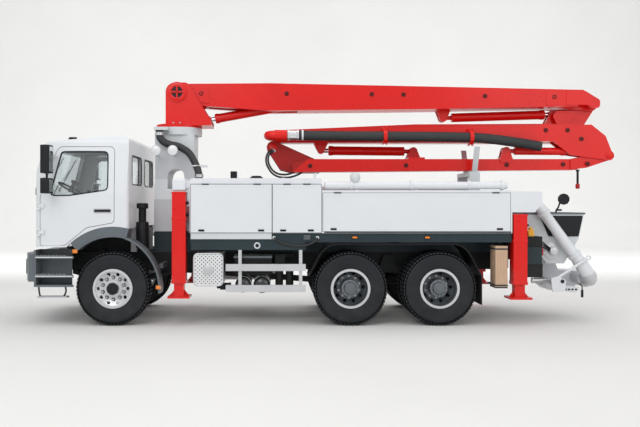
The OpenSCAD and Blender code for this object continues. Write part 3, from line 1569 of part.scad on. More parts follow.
piston_rod(root_d, tip_d, lane4_y);  // rod_d
arm_front_left();
arm_front_right();
arm_rear_left();
arm_rear_right();
leg_front(-1);  // leg_front_left
leg_front(1);  // leg_front_right
leg_rear(-1);  // leg_rear_left
leg_rear(1);  // leg_rear_right
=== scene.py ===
"""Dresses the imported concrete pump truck: finishes, tread, hoses, pins, latches, lamps and trim.

The truck stands as on the road, with the boom folded over it. +X points to its rear, +Y to its
right side and +Z up, in metres.
"""

from __future__ import annotations

import json
import logging
import math
from collections.abc import Callable, Iterable, Sequence
from dataclasses import dataclass, field
from enum import Enum

import bpy
from mathutils import Matrix, Vector

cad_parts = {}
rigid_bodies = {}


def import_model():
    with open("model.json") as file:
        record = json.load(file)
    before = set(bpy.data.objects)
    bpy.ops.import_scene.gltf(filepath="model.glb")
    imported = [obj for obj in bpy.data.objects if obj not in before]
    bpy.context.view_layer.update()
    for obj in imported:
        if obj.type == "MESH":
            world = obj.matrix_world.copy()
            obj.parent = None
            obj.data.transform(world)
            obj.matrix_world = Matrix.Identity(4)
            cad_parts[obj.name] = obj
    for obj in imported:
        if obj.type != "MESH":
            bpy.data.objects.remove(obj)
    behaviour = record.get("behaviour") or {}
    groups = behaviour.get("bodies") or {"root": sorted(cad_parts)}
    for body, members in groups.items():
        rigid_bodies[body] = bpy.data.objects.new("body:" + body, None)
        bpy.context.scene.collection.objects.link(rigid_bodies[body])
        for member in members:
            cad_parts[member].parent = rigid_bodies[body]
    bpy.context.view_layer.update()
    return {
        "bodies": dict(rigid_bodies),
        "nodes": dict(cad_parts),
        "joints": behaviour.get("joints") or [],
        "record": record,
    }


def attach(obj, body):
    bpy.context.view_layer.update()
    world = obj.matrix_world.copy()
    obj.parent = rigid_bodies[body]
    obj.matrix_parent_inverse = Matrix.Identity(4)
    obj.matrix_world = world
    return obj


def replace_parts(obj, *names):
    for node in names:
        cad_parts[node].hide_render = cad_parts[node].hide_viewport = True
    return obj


LOG = logging.getLogger("pump_truck")
Point = tuple[float, float, float]
Pairs = Sequence[tuple[float, float]]
Object = bpy.types.Object
Material = bpy.types.Material
Socket = bpy.types.NodeSocket
FaceTest = Callable[[Vector, Vector], bool]

ORIGIN: Point = (0.0, 0.0, 0.0)
AXLE_Z = 0.562
AXLES_X = (-3.3, 0.3, 1.65)


class Axis(Enum):
    """Direction of a round piece, with the turn that lays a primitive's Z axis along it."""

    LENGTH = (0.0, math.pi / 2, 0.0)
    WIDTH = (math.pi / 2, 0.0, 0.0)
    HEIGHT = (0.0, 0.0, 0.0)


class Bench:
    """Hand tools that add a primitive, shape it in edit mode and settle it at the origin."""

    @staticmethod
    def mode(name: str = "OBJECT") -> None:
        """Go to a mode, or back to object mode."""
        bpy.ops.object.mode_set(mode=name)

    @classmethod
    def clear(cls) -> None:
        """Leave edit mode and deselect everything."""
        if bpy.context.mode != "OBJECT":
            cls.mode()
        bpy.ops.object.select_all(action="DESELECT")

    @classmethod
    def pick(cls, *objs: Object) -> None:
        """Select only these objects, with the last one active.

        Args:
            objs: The objects.
        """
        cls.clear()
        for obj in objs:
            obj.select_set(True)
        bpy.context.view_layer.objects.active = objs[-1]

    @classmethod
    def edit(cls, obj: Object, keep: FaceTest | None = None) -> None:
        """Enter edit mode with the faces selected that a test keeps.

        Args:
            obj: The mesh object to shape.
            keep: Test of a face's centre and normal; None selects everything.
        """
        cls.pick(obj)
        for part in (*obj.data.edges, *obj.data.vertices):
            part.select = False
        for face in obj.data.polygons:
            face.select = keep is None or keep(face.center, face.normal)
        cls.mode("EDIT")
        bpy.ops.mesh.select_mode(type="FACE")
        if keep is None:
            bpy.ops.mesh.select_all(action="SELECT")

    @classmethod
    def outwards(cls, obj: Object) -> Object:
        """Turn all faces of a piece outwards.

        Args:
            obj: The piece.

        Returns:
            The piece, in object mode.
        """
        cls.edit(obj)
        bpy.ops.mesh.normals_make_consistent(inside=False)
        cls.mode()
        return obj

    @classmethod
    def inset(cls, obj: Object, keep: FaceTest, *steps: tuple[float, float]) -> None:
        """Inset the faces that a test keeps, step by step.

        Args:
            obj: The piece.
            keep: Test of a face's centre and normal.
            steps: Width and rise of each inset.
        """
        cls.edit(obj, keep)
        for width, rise in steps:
            bpy.ops.mesh.inset(thickness=width, depth=rise)
        cls.mode()

    @classmethod
    def settle(cls, obj: Object, angle: float = 35.0) -> Object:
        """Put a piece's place into its mesh and smooth its shallow edges.

        Args:
            obj: The finished piece.
            angle: Edges under this angle in degrees are shaded smooth.

        Returns:
            The piece, at the origin, unturned and unscaled.
        """
        cls.pick(obj)
        bpy.ops.object.transform_apply(location=True, rotation=True, scale=True)
        bpy.ops.object.shade_smooth_by_angle(angle=math.radians(angle))
        return obj

    @classmethod
    def ease(cls, obj: Object, width: float, steps: int = 2, sharp: float = 40.0) -> None:
        """Bevel the sharp edges of a piece.

        Args:
            obj: The mesh object.
            width: Width of the bevel in metres.
            steps: Segments of the bevel.
            sharp: Angle in degrees from which an edge counts as sharp.
        """
        cls.pick(obj)
        cls.mode("EDIT")
        bpy.ops.mesh.select_mode(type="EDGE")
        bpy.ops.mesh.select_all(action="DESELECT")
        bpy.ops.mesh.edges_select_sharp(sharpness=math.radians(sharp))
        bpy.ops.mesh.bevel(offset=width, segments=steps, affect="EDGES", clamp_overlap=True)
        cls.mode()

    @classmethod
    def block(cls, low: Point, high: Point, ease: float = 0.004, steps: int = 2) -> Object:
        """A block with eased edges.

        Args:
            low: Lowest corner.
            high: Highest corner.
            ease: Width of its bevelled edges.
            steps: Segments of the bevel.

        Returns:
            The settled block.
        """
        cls.clear()
        mid = tuple((a + b) / 2 for a, b in zip(low, high))
        bpy.ops.mesh.primitive_cube_add(size=1.0, location=mid)
        obj = bpy.context.active_object
        obj.scale = tuple(b - a for a, b in zip(low, high))
        cls.ease(cls.settle(obj), ease, steps)
        return cls.settle(obj)

    @classmethod
    def panel(cls, low: Point, high: Point, rim: float, depth: float, ease: float = 0.003) -> Object:
        """A lid with a frame round a sunk or raised field on its left face.

        Args:
            low: Lowest corner.
            high: Highest corner.
            rim: Width of the frame.
            depth: Rise of the field; negative sinks it.
            ease: Width of its bevelled edges.

        Returns:
            The settled panel.
        """
        obj = cls.block(low, high, ease, 1)
        cls.inset(obj, lambda c, n: n.y < -0.9 and abs(c.y - low[1]) < 1e-4, (rim, 0.0),
            (abs(depth) * 0.8, depth))
        return cls.settle(obj)

    @classmethod
    def drum(cls, at: Point, radius: float, length: float, axis: Axis) -> Object:
        """A round piece with eased rims.

        Args:
            at: Middle of the piece.
            radius: Its radius.
            length: Its length.
            axis: Its direction.

        Returns:
            The settled piece.
        """
        cls.clear()
        bpy.ops.mesh.primitive_cylinder_add(
            vertices=32, radius=radius, depth=length, location=at, rotation=axis.value)
        obj = cls.settle(bpy.context.active_object)
        cls.ease(obj, 0.003, 2, 60.0)
        return cls.settle(obj)

    @classmethod
    def stepped(cls, at: Point, axis: Axis, profile: Pairs, sides: int = 32, flip: bool = False) -> Object:
        """A turned piece, extruded ring by ring from its foot.

        Args:
            at: Middle of its foot.
            axis: Direction in which it is turned.
            profile: Radius and height of each ring, from the foot up.
            sides: Faces round it.
            flip: Whether it stands the other way along the axis.

        Returns:
            The settled piece.
        """
        cls.clear()
        here, height = profile[0]
        bpy.ops.mesh.primitive_circle_add(vertices=sides, radius=here, fill_type="NGON")
        obj = bpy.context.active_object
        cls.mode("EDIT")
        bpy.ops.mesh.select_all(action="SELECT")
        for radius, level in profile[1:]:
            bpy.ops.mesh.extrude_region_move(TRANSFORM_OT_translate={"value": (0, 0, level - height)})
            bpy.ops.transform.resize(value=(radius / here, radius / here, 1.0))
            here, height = radius, level
        cls.outwards(obj)
        obj.rotation_euler = axis.value
        if flip:
            obj.rotation_euler[1 if axis is Axis.LENGTH else 0] += math.pi
        obj.location = at
        return cls.settle(obj)

    @classmethod
    def hoop(cls, at: Point, axis: Axis, radius: float, wire: float, sides: int = 40) -> Object:
        """A round ring.

        Args:
            at: Its middle.
            axis: Direction of its axis.
            radius: Radius to the middle of the wire.
            wire: Radius of the wire.
            sides: Faces round it.

        Returns:
            The settled ring.
        """
        cls.clear()
        bpy.ops.mesh.primitive_torus_add(
            major_radius=radius, minor_radius=wire, major_segments=sides, minor_segments=10, location=at,
            rotation=axis.value)
        return cls.settle(bpy.context.active_object, 60.0)

    @staticmethod
    def linked(data: bpy.types.ID) -> Object:
        """A new object in the scene that shows some data.

        Args:
            data: A mesh or a curve.

        Returns:
            The object, at the origin.
        """
        obj = bpy.data.objects.new("piece", data)
        bpy.context.scene.collection.objects.link(obj)
        return obj

    @classmethod
    def meshed(cls, obj: Object, angle: float) -> Object:
        """A curve made a mesh, with edges under an angle shaded smooth.

        Args:
            obj: The curve.
            angle: The angle in degrees.

        Returns:
            The settled mesh.
        """
        cls.pick(obj)
        bpy.ops.object.convert(target="MESH")
        return cls.settle(bpy.context.active_object, angle)

    @classmethod
    def plate(cls, outline: Pairs, low: float, high: float, ease: float = 0.002) -> Object:
        """A flat plate with eased edges, cut to an outline and standing along the truck.

        Args:
            outline: Its corners in length and height.
            low: Its first face across the truck.
            high: Its second face across the truck.
            ease: Radius of its eased edges.

        Returns:
            The settled plate.
        """
        curve = bpy.data.curves.new("plate", "CURVE")
        curve.dimensions = "2D"
        curve.fill_mode = "BOTH"
        curve.extrude = (high - low) / 2 - ease
        curve.bevel_depth = ease
        curve.bevel_resolution = 1
        curve.offset = -ease
        spline = curve.splines.new("POLY")
        spline.points.add(len(outline) - 1)
        for knot, (x, z) in zip(spline.points, outline):
            knot.co = (x, z, 0.0, 1.0)
        spline.use_cyclic_u = True
        obj = cls.linked(curve)
        obj.rotation_euler = Axis.WIDTH.value
        obj.location = (0.0, (low + high) / 2, 0.0)
        return cls.meshed(obj, 35.0)

    @classmethod
    def pipe(cls, points: Sequence[Point], radius: float, sides: int = 4, closed: bool = False) -> Object:
        """A round bar or pipe made a mesh, with the route and section that line() takes."""
        return cls.meshed(cls.line(points, radius, sides, closed), 60.0)

    @classmethod
    def line(cls, points: Sequence[Point], radius: float, sides: int = 6, closed: bool = False) -> Object:
        """A curve of one spline with a round section; its knots carry the radius, so that its box is true.

        Args:
            points: Its route.
            radius: Its radius.
            sides: Resolution of its round section.
            closed: Whether its end meets its start.

        Returns:
            The curve object.
        """
        curve = bpy.data.curves.new("line", "CURVE")
        curve.dimensions = "3D"
        curve.bevel_depth = 1.0
        curve.bevel_resolution = sides
        curve.use_fill_caps = True
        spline = curve.splines.new("BEZIER")
        spline.resolution_u = 8
        spline.bezier_points.add(len(points) - 1)
        for knot, place in zip(spline.bezier_points, points):
            knot.co = place
            knot.radius = radius
            knot.handle_left_type = knot.handle_right_type = "AUTO"
        spline.use_cyclic_u = closed
        return cls.linked(curve)

    @classmethod
    def twin(cls, obj: Object) -> Object:
        """A copy of a piece with its own mesh."""
        return cls.linked(obj.data.copy())

    @classmethod
    def turn(cls, obj: Object, spin: float, axis: str = "Y", centre: Point = ORIGIN,
             shift: Point = ORIGIN) -> Object:
        """Turn a piece about a centre and then shift it.

        Args:
            obj: The piece.
            spin: Turn in radians.
            axis: Axis of the turn.
            centre: Centre of the turn.
            shift: How far it is moved.

        Returns:
            The settled piece.
        """
        matrix = Matrix.Rotation(spin, 3, axis)
        obj.rotation_euler = matrix.to_euler()
        obj.location = Vector(centre) - matrix @ Vector(centre) + Vector(shift)
        return cls.settle(obj)

    @classmethod
    def ring(cls, obj: Object, count: int, axis: str, centre: Point = ORIGIN,
             start: float = 0.0) -> list[Object]:
        """Copies of a model round a centre, in place of the model.

        Args:
            obj: The model.
            count: How many there are.
            axis: Axis of the ring.
            centre: Its middle.
            start: Turn of the first copy, in steps of the ring.

        Returns:
            The settled copies.
        """
        copies = [cls.turn(cls.twin(obj), 2 * math.pi * (i + start) / count, axis, centre)
            for i in range(count)]
        bpy.data.objects.remove(obj)
        return copies

    @classmethod
    def row(cls, obj: Object, shifts: Iterable[Point]) -> list[Object]:
        """Shifted copies of a model, in place of the model.

        Args:
            obj: The model.
            shifts: How far each copy is moved.

        Returns:
            The settled copies.
        """
        copies = [cls.turn(cls.twin(obj), 0.0, shift=shift) for shift in shifts]
        bpy.data.objects.remove(obj)
        return copies

    @staticmethod
    def rounded(corners: Pairs, radii: Sequence[float], steps: int = 5) -> list[tuple[float, float]]:
        """Outline whose corners are rounded, each with its own radius.

        Args:
            corners: The outline's corners.
            radii: Radius of each corner.
            steps: Steps of each arc.

        Returns:
            The points of the rounded outline.
        """
        points = []
        for i, radius in enumerate(radii):
            before, here, after = (Vector(corners[(i + k) % len(corners)]) for k in (-1, 0, 1))
            u, v = (before - here).normalized(), (after - here).normalized()
            half = u.angle(v) / 2
            start, end = here + u * radius / math.tan(half), here + v * radius / math.tan(half)
            for k in range(steps + 1):
                share = k / steps
                bow = start.lerp(here, share).lerp(here.lerp(end, share), share)
                points.append((bow.x, bow.y))
        return points

    @classmethod
    def mirrored(cls, obj: Object) -> Object:
        """A mirror image of a piece on the truck's other side, with its faces outwards.

        Args:
            obj: The piece.

        Returns:
            The settled image.
        """
        twin = cls.twin(obj)
        twin.scale = (1.0, -1.0, 1.0)
        return cls.outwards(cls.settle(twin))

    @classmethod
    def joined(cls, *parts: Object) -> Object:
        """One piece made of several; a single one is left as it is.

        Args:
            parts: The pieces; the last one stays.

        Returns:
            The settled piece.
        """
        if len(parts) > 1:
            cls.pick(*parts)
            bpy.ops.object.join()
            cls.settle(parts[-1])
        return parts[-1]


class Recipe:
    """A material's node tree, with short calls for the nodes that the finishes share."""

    def __init__(self, name: str) -> None:
        """Start a material with its own coordinates and one shader."""
        self.material = bpy.data.materials.new(name)
        self.material.use_nodes = True
        self.tree = self.material.node_tree
        self.shader = self.tree.nodes["Principled BSDF"]
        self.coords = self.add("ShaderNodeTexCoord").outputs["Object"]

    def feed(self, target: Socket, value: object) -> None:
        """Link a socket to an input, or set the input.

        Args:
            target: The input.
            value: A socket, a number, a vector or a colour.
        """
        if isinstance(value, Socket):
            self.tree.links.new(value, target)
        else:
            target.default_value = (*value, 1.0) if target.type == "RGBA" else value

    def add(self, kind: str, inputs: dict[str | int, object] | None = None,
            **values: object) -> bpy.types.Node:
        """Add a node, set its properties and feed its inputs.

        Args:
            kind: Its type.
            inputs: What each input is linked to or set to.
            values: Its properties by name.

        Returns:
            The node.
        """
        node = self.tree.nodes.new(kind)
        for key, value in values.items():
            setattr(node, key, value)
        for key, value in (inputs or {}).items():
            self.feed(node.inputs[key], value)
        return node

    def put(self, name: str, value: object) -> None:
        """Set or link one input of the shader."""
        self.feed(self.shader.inputs[name], value)

    def noise(self, scale: float, detail: float = 4.0, stretch: Point = (1.0, 1.0, 1.0)) -> Socket:
        """Noise on the piece's own coordinates.

        Args:
            scale: Its scale per metre.
            detail: Its levels of detail.
            stretch: Scale along each axis before the noise.

        Returns:
            The noise's value.
        """
        place = self.add("ShaderNodeMapping", {"Vector": self.coords, "Scale": stretch}).outputs["Vector"]
        return self.add("ShaderNodeTexNoise",
            {"Vector": place, "Scale": scale, "Detail": detail}).outputs["Fac"]

    def wave(self, scale: float, axis: str, turn: float = 0.0, blur: float = 0.0) -> Socket:
        """Straight bands across the piece.

        Args:
            scale: Bands per metre, roughly.
            axis: X, Y, Z or DIAGONAL.
            turn: Turn of the bands about Y in radians.
            blur: Distortion of the bands.

        Returns:
            The bands' value.
        """
        turned = {"Vector": self.coords, "Rotation": (0.0, turn, 0.0)}
        place = self.add("ShaderNodeMapping", turned).outputs["Vector"]
        bands = {"Vector": place, "Scale": scale, "Distortion": blur, "Detail": 3.0}
        return self.add("ShaderNodeTexWave", bands, bands_direction=axis).outputs["Fac"]

    def spread(self, value: Socket, low: float, high: float, start: float = 0.0, end: float = 1.0) -> Socket:
        """A value mapped from one range to another.

        Args:
            value: The value to map.
            low: Its result at the start.
            high: Its result at the end.
            start: Start of the range that is read.
            end: End of the range that is read.

        Returns:
            The mapped value.
        """
        ranges = {"Value": value, "From Min": start, "From Max": end, "To Min": low, "To Max": high}
        return self.add("ShaderNodeMapRange", ranges).outputs["Result"]

    def height(self) -> Socket:
        """Height above the ground on the piece's own coordinates."""
        return self.add("ShaderNodeSeparateXYZ", {"Vector": self.coords}).outputs["Z"]

    def times(self, a: Socket, b: Socket) -> Socket:
        """Product of two values."""
        return self.add("ShaderNodeMath", {0: a, 1: b}, operation="MULTIPLY").outputs[0]

    def blend(self, share: Socket, first: object, second: Sequence[float]) -> Socket:
        """Mix of a colour, or a socket that carries one, with another colour by the other's share."""
        return self.add("ShaderNodeMix", {"Factor": share, 6: first, 7: second}, data_type="RGBA").outputs[2]

    def edge(self, radius: float) -> Socket:
        """Mask that is high along the piece's edges.

        Args:
            radius: How far it reaches from an edge.

        Returns:
            The mask's value.
        """
        soft = self.add("ShaderNodeBevel", {"Radius": radius}, samples=4).outputs["Normal"]
        plain = self.add("ShaderNodeNewGeometry").outputs["Normal"]
        dot = self.add("ShaderNodeVectorMath", {0: soft, 1: plain}, operation="DOT_PRODUCT")
        return self.spread(dot.outputs["Value"], 1.0, 0.0, 0.78, 0.97)

    def bump(self, value: Socket, strength: float, depth: float) -> None:
        """Raise the surface by a height map, with a strength and a depth in metres."""
        node = self.add("ShaderNodeBump", {"Strength": strength, "Distance": depth, "Height": value})
        self.put("Normal", node.outputs["Normal"])


ROAD_DUST = (0.3, 0.28, 0.25)
HOLE_SHADE = (0.1, 0.1, 0.1)


class Grain(Enum):
    """Surface that a finish shows close up."""

    PEEL = "orange peel of sprayed paint"
    CAST = "cast or moulded skin"
    BRUSHED = "fine lengthwise scratches"
    PLATE = "rows of holes in a pierced plate"
    RIBBED = "fine ribs of a wrapped hose"
    SAWN = "sawn timber"
    SMOOTH = "polished"


@dataclass(frozen=True)
class Finish:
    """One surface: its colour, gloss, usual slot, grain, dust from the road, and edges lightened partly as
    wear and partly as a painted highlight.
    """

    name: str
    color: tuple[float, float, float]
    rough: float = 0.3
    slot: str = ""
    metal: float = 0.0
    coat: float = 0.0
    grain: Grain = Grain.PEEL
    tone: float = 0.1
    dust: float = 0.2
    dust_top: float = 1.5
    wear_and_edge_highlight: float = 0.0
    clear: float = 0.0
    shine: float = 0.5

    def make(self) -> Material:
        """Build the material.

        Returns:
            The material, made of nodes on Object coordinates.
        """
        r = Recipe(self.name)
        darker = tuple(c * (1 - 2.2 * self.tone) for c in self.color)
        broad = r.noise(1.7, 5.0)
        color = r.blend(r.spread(broad, 0.0, 1.0, 0.42, 0.75), self.color, darker)
        if self.grain is Grain.SAWN:
            rings = r.wave(14.0, "X", 0.0, 5.0)
            color = r.blend(r.spread(rings, 0.0, 0.75), color, tuple(c * 0.55 for c in self.color))
        if self.grain is Grain.PLATE:
            color = r.blend(self._holes(r), color, HOLE_SHADE)
        # Edges lightened in noisy patches: partly wear, partly a painted highlight along the edges.
        if self.wear_and_edge_highlight:
            edge_highlight = tuple(min(1.0, c * 0.55 + 0.42) for c in self.color)
            edge = r.times(r.edge(0.006), r.spread(r.noise(9.0, 6.0), 0.0, self.wear_and_edge_highlight, 0.42, 0.62))
            color = r.blend(edge, color, edge_highlight)
        if self.dust:
            low = r.spread(r.height(), self.dust, 0.0, 0.25, self.dust_top)
            patch = r.spread(r.noise(5.5, 6.0), 0.15, 1.0, 0.35, 0.68)
            color = r.blend(r.times(low, patch), color, ROAD_DUST)
        r.put("Base Color", color)
        r.put("Roughness", r.spread(r.noise(11.0, 3.0), max(self.rough - 0.01, 0.02), self.rough + 0.02, 0.3,
            0.7))
        r.put("Metallic", self.metal)
        r.put("Specular IOR Level", self.shine)
        r.put("Coat Weight", self.coat)
        r.put("Coat Roughness", 0.08)
        if self.clear:
            r.put("Transmission Weight", self.clear)
            r.put("IOR", 1.45)
        self._grain(r)
        return r.material

    @staticmethod
    def _holes(r: Recipe) -> Socket:
        """Mask of slanting rows of holes."""
        return r.times(r.spread(r.wave(7.5, "X", 0.8), 0.0, 1.0, 0.52, 0.7),
            r.spread(r.wave(7.5, "X", -0.8), 0.0, 1.0, 0.52, 0.7))

    def _grain(self, r: Recipe) -> None:
        """Add the relief that the surface shows close up.

        Args:
            r: The material's recipe.
        """
        if self.grain is Grain.PEEL:
            r.bump(r.noise(130.0, 2.0), 0.02, 0.0006)
        elif self.grain is Grain.CAST:
            r.bump(r.noise(75.0, 6.0), 0.22, 0.002)
        elif self.grain is Grain.BRUSHED:
            r.bump(r.noise(20.0, 6.0, (1.0, 14.0, 14.0)), 0.08, 0.001)
        elif self.grain is Grain.PLATE:
            r.bump(self._holes(r), -0.8, 0.004)
        elif self.grain is Grain.RIBBED:
            r.bump(r.wave(22.0, "X", 0.0, 0.4), 0.25, 0.002)
        elif self.grain is Grain.SAWN:
            r.bump(r.noise(28.0, 8.0, (6.0, 6.0, 0.5)), 0.35, 0.002)


class Coat(Enum):
    """The truck's finishes."""

    RED = Finish("boom_red", (0.7, 0.008, 0.005), 0.28, "red_paint", coat=0.12, tone=0.04, dust=0.05,
        wear_and_edge_highlight=0.08, shine=0.28)
    # The boom red darkened as painted shade, for the third section's knuckle end and the cap hung under it.
    DARK_RED = Finish("knuckle_red", (0.42, 0.008, 0.006), 0.34, "red_paint", coat=0.1, tone=0.06, dust=0.05,
        wear_and_edge_highlight=0.08, shine=0.28)
    PLUG_RED = Finish("plug_red", (0.1, 0.006, 0.005), 0.4, "red_paint", tone=0.08, dust=0.05, shine=0.28)
    WHITE = Finish("body_white", (0.7, 0.722, 0.75), 0.32, "white_paint", coat=0.15, tone=0.012, dust=0.06,
        dust_top=1.6, wear_and_edge_highlight=0.06)
    GREY = Finish("bumper_grey", (0.12, 0.14, 0.155), 0.42, "grey_paint", tone=0.06, dust=0.08, wear_and_edge_highlight=0.1,
        shine=0.35)
    LIGHT_GREY = Finish("pedestal_grey", (0.6, 0.63, 0.65), 0.36, "light_grey_paint", tone=0.03, dust=0.05,
        wear_and_edge_highlight=0.08)
    BLUE_GREY = Finish("frame_grey", (0.018, 0.034, 0.041), 0.42, tone=0.1, dust=0.06, wear_and_edge_highlight=0.1, shine=0.3)
    BLACK = Finish("chassis_black", (0.007, 0.009, 0.01), 0.5, "chassis_black", tone=0.1, dust=0.07,
        dust_top=1.1, shine=0.25)
    GLOSS_BLACK = Finish("tank_black", (0.014, 0.016, 0.018), 0.22, "chassis_black", coat=0.5, tone=0.08,
        dust=0.08, dust_top=1.1)
    SILVER = Finish("wheel_silver", (0.6, 0.61, 0.63), 0.34, "bare_steel", metal=0.45, tone=0.05, dust=0.1,
        dust_top=1.1, wear_and_edge_highlight=0.1)
    DISH = Finish("dish_steel", (0.17, 0.19, 0.21), 0.38, metal=0.4, tone=0.08, dust=0.06, dust_top=1.1,
        wear_and_edge_highlight=0.1)
    STEEL = Finish("bright_steel", (0.6, 0.61, 0.62), 0.32, "bare_steel", metal=0.85, grain=Grain.BRUSHED,
        tone=0.06, dust=0.1)
    PLATE = Finish("pierced_plate", (0.8, 0.81, 0.82), 0.36, "bare_steel", metal=0.35, grain=Grain.PLATE,
        tone=0.05, dust=0.08)
    CHROME = Finish("rod_chrome", (0.78, 0.79, 0.8), 0.12, "chrome_rod", metal=1.0, grain=Grain.SMOOTH,
        tone=0.03, dust=0.05)
    TYRE = Finish("tyre_rubber", (0.012, 0.015, 0.018), 0.66, grain=Grain.CAST, tone=0.1, dust=0.05,
        dust_top=1.2, shine=0.28)
    # Groove rubber: the tyre's rubber darkened as painted shade in the tread's grooves.
    GROOVE = Finish("tyre_groove", (0.003, 0.004, 0.005), 0.85, tone=0.0, dust=0.0, shine=0.1)
    LUG = Finish("tyre_lug", (0.026, 0.031, 0.035), 0.7, tone=0.15, dust=0.12, dust_top=1.2, shine=0.3)
    HOSE = Finish("hose_rubber", (0.022, 0.024, 0.025), 0.55, "hose_rubber", grain=Grain.RIBBED, tone=0.12,
        dust=0.0)
    PLASTIC = Finish("black_plastic", (0.009, 0.01, 0.012), 0.5, "black_plastic", grain=Grain.CAST,
        tone=0.1, dust=0.06, shine=0.28)
    SEAT = Finish("seat_cloth", (0.045, 0.048, 0.055), 0.85, "black_plastic", grain=Grain.CAST, tone=0.1,
        dust=0.0)
    GLASS = Finish("window_glass", (0.88, 0.93, 0.94), 0.04, grain=Grain.SMOOTH, tone=0.02, dust=0.0,
        clear=0.95)
    MIRROR = Finish("mirror_glass", (0.85, 0.87, 0.88), 0.05, "window_glass", metal=1.0, grain=Grain.SMOOTH,
        tone=0.02, dust=0.0)
    AMBER = Finish("amber_lens", (0.85, 0.24, 0.02), 0.15, "lamp_lens", coat=0.6, grain=Grain.SMOOTH,
        tone=0.04, dust=0.1)
    RED_LENS = Finish("tail_lens", (0.55, 0.015, 0.02), 0.15, coat=0.6, grain=Grain.SMOOTH, tone=0.04,
        dust=0.1)
    LENS = Finish("lamp_glass", (0.75, 0.77, 0.78), 0.1, "lamp_lens", coat=0.6, grain=Grain.SMOOTH,
        tone=0.03, dust=0.1)
    YELLOW = Finish("valve_yellow", (0.8, 0.42, 0.02), 0.35, "lamp_lens", coat=0.2, tone=0.06, dust=0.08,
        wear_and_edge_highlight=0.1)
    TIMBER = Finish("packing_timber", (0.66, 0.44, 0.29), 0.75, grain=Grain.SAWN, tone=0.1, dust=0.1)


class Shop:
    """Makes each finish once, and joins, paints and fits new pieces."""

    made: dict[Coat, Material] = {}

    @classmethod
    def get(cls, coat: Coat) -> Material:
        """The material of a finish, made on first use.

        Args:
            coat: The finish.

        Returns:
            The material.
        """
        if coat not in cls.made:
            cls.made[coat] = coat.value.make()
        return cls.made[coat]

    @classmethod
    def fit(cls, name: str, coat: Coat, *parts: Object, body: str = "chassis", slot: str = "") -> Object:
        """Join new parts into one piece, paint it and make it ride on a body.

        Args:
            name: The piece's name.
            coat: Its finish.
            parts: What it is made of.
            body: The body that carries it.
            slot: The record's material slot; not used.

        Returns:
            The piece.
        """
        obj = Bench.joined(*parts)
        obj.name = obj.data.name = name
        obj.data.materials.clear()
        obj.data.materials.append(cls.get(coat))
        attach(obj, body)
        LOG.info("fitted %s on %s", name, body)
        return obj

    @classmethod
    def pair(cls, name: str, coat: Coat, *parts: Object, body: str = "chassis") -> None:
        """Fit a piece on the left side and its mirror image on the right.

        Args:
            name: Their name, without the side.
            coat: Their finish.
            parts: What the left one is made of.
            body: The body that carries the left one.
        """
        obj = Bench.joined(*parts)
        twin = Bench.mirrored(obj)
        cls.fit(f"{name}_left", coat, obj, body=body)
        cls.fit(f"{name}_right", coat, twin, body=body.replace("left", "right"))


@dataclass(frozen=True)
class Dress:
    """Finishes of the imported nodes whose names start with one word."""

    start: str
    base: Coat
    others: tuple[tuple[Coat, FaceTest], ...] = ()


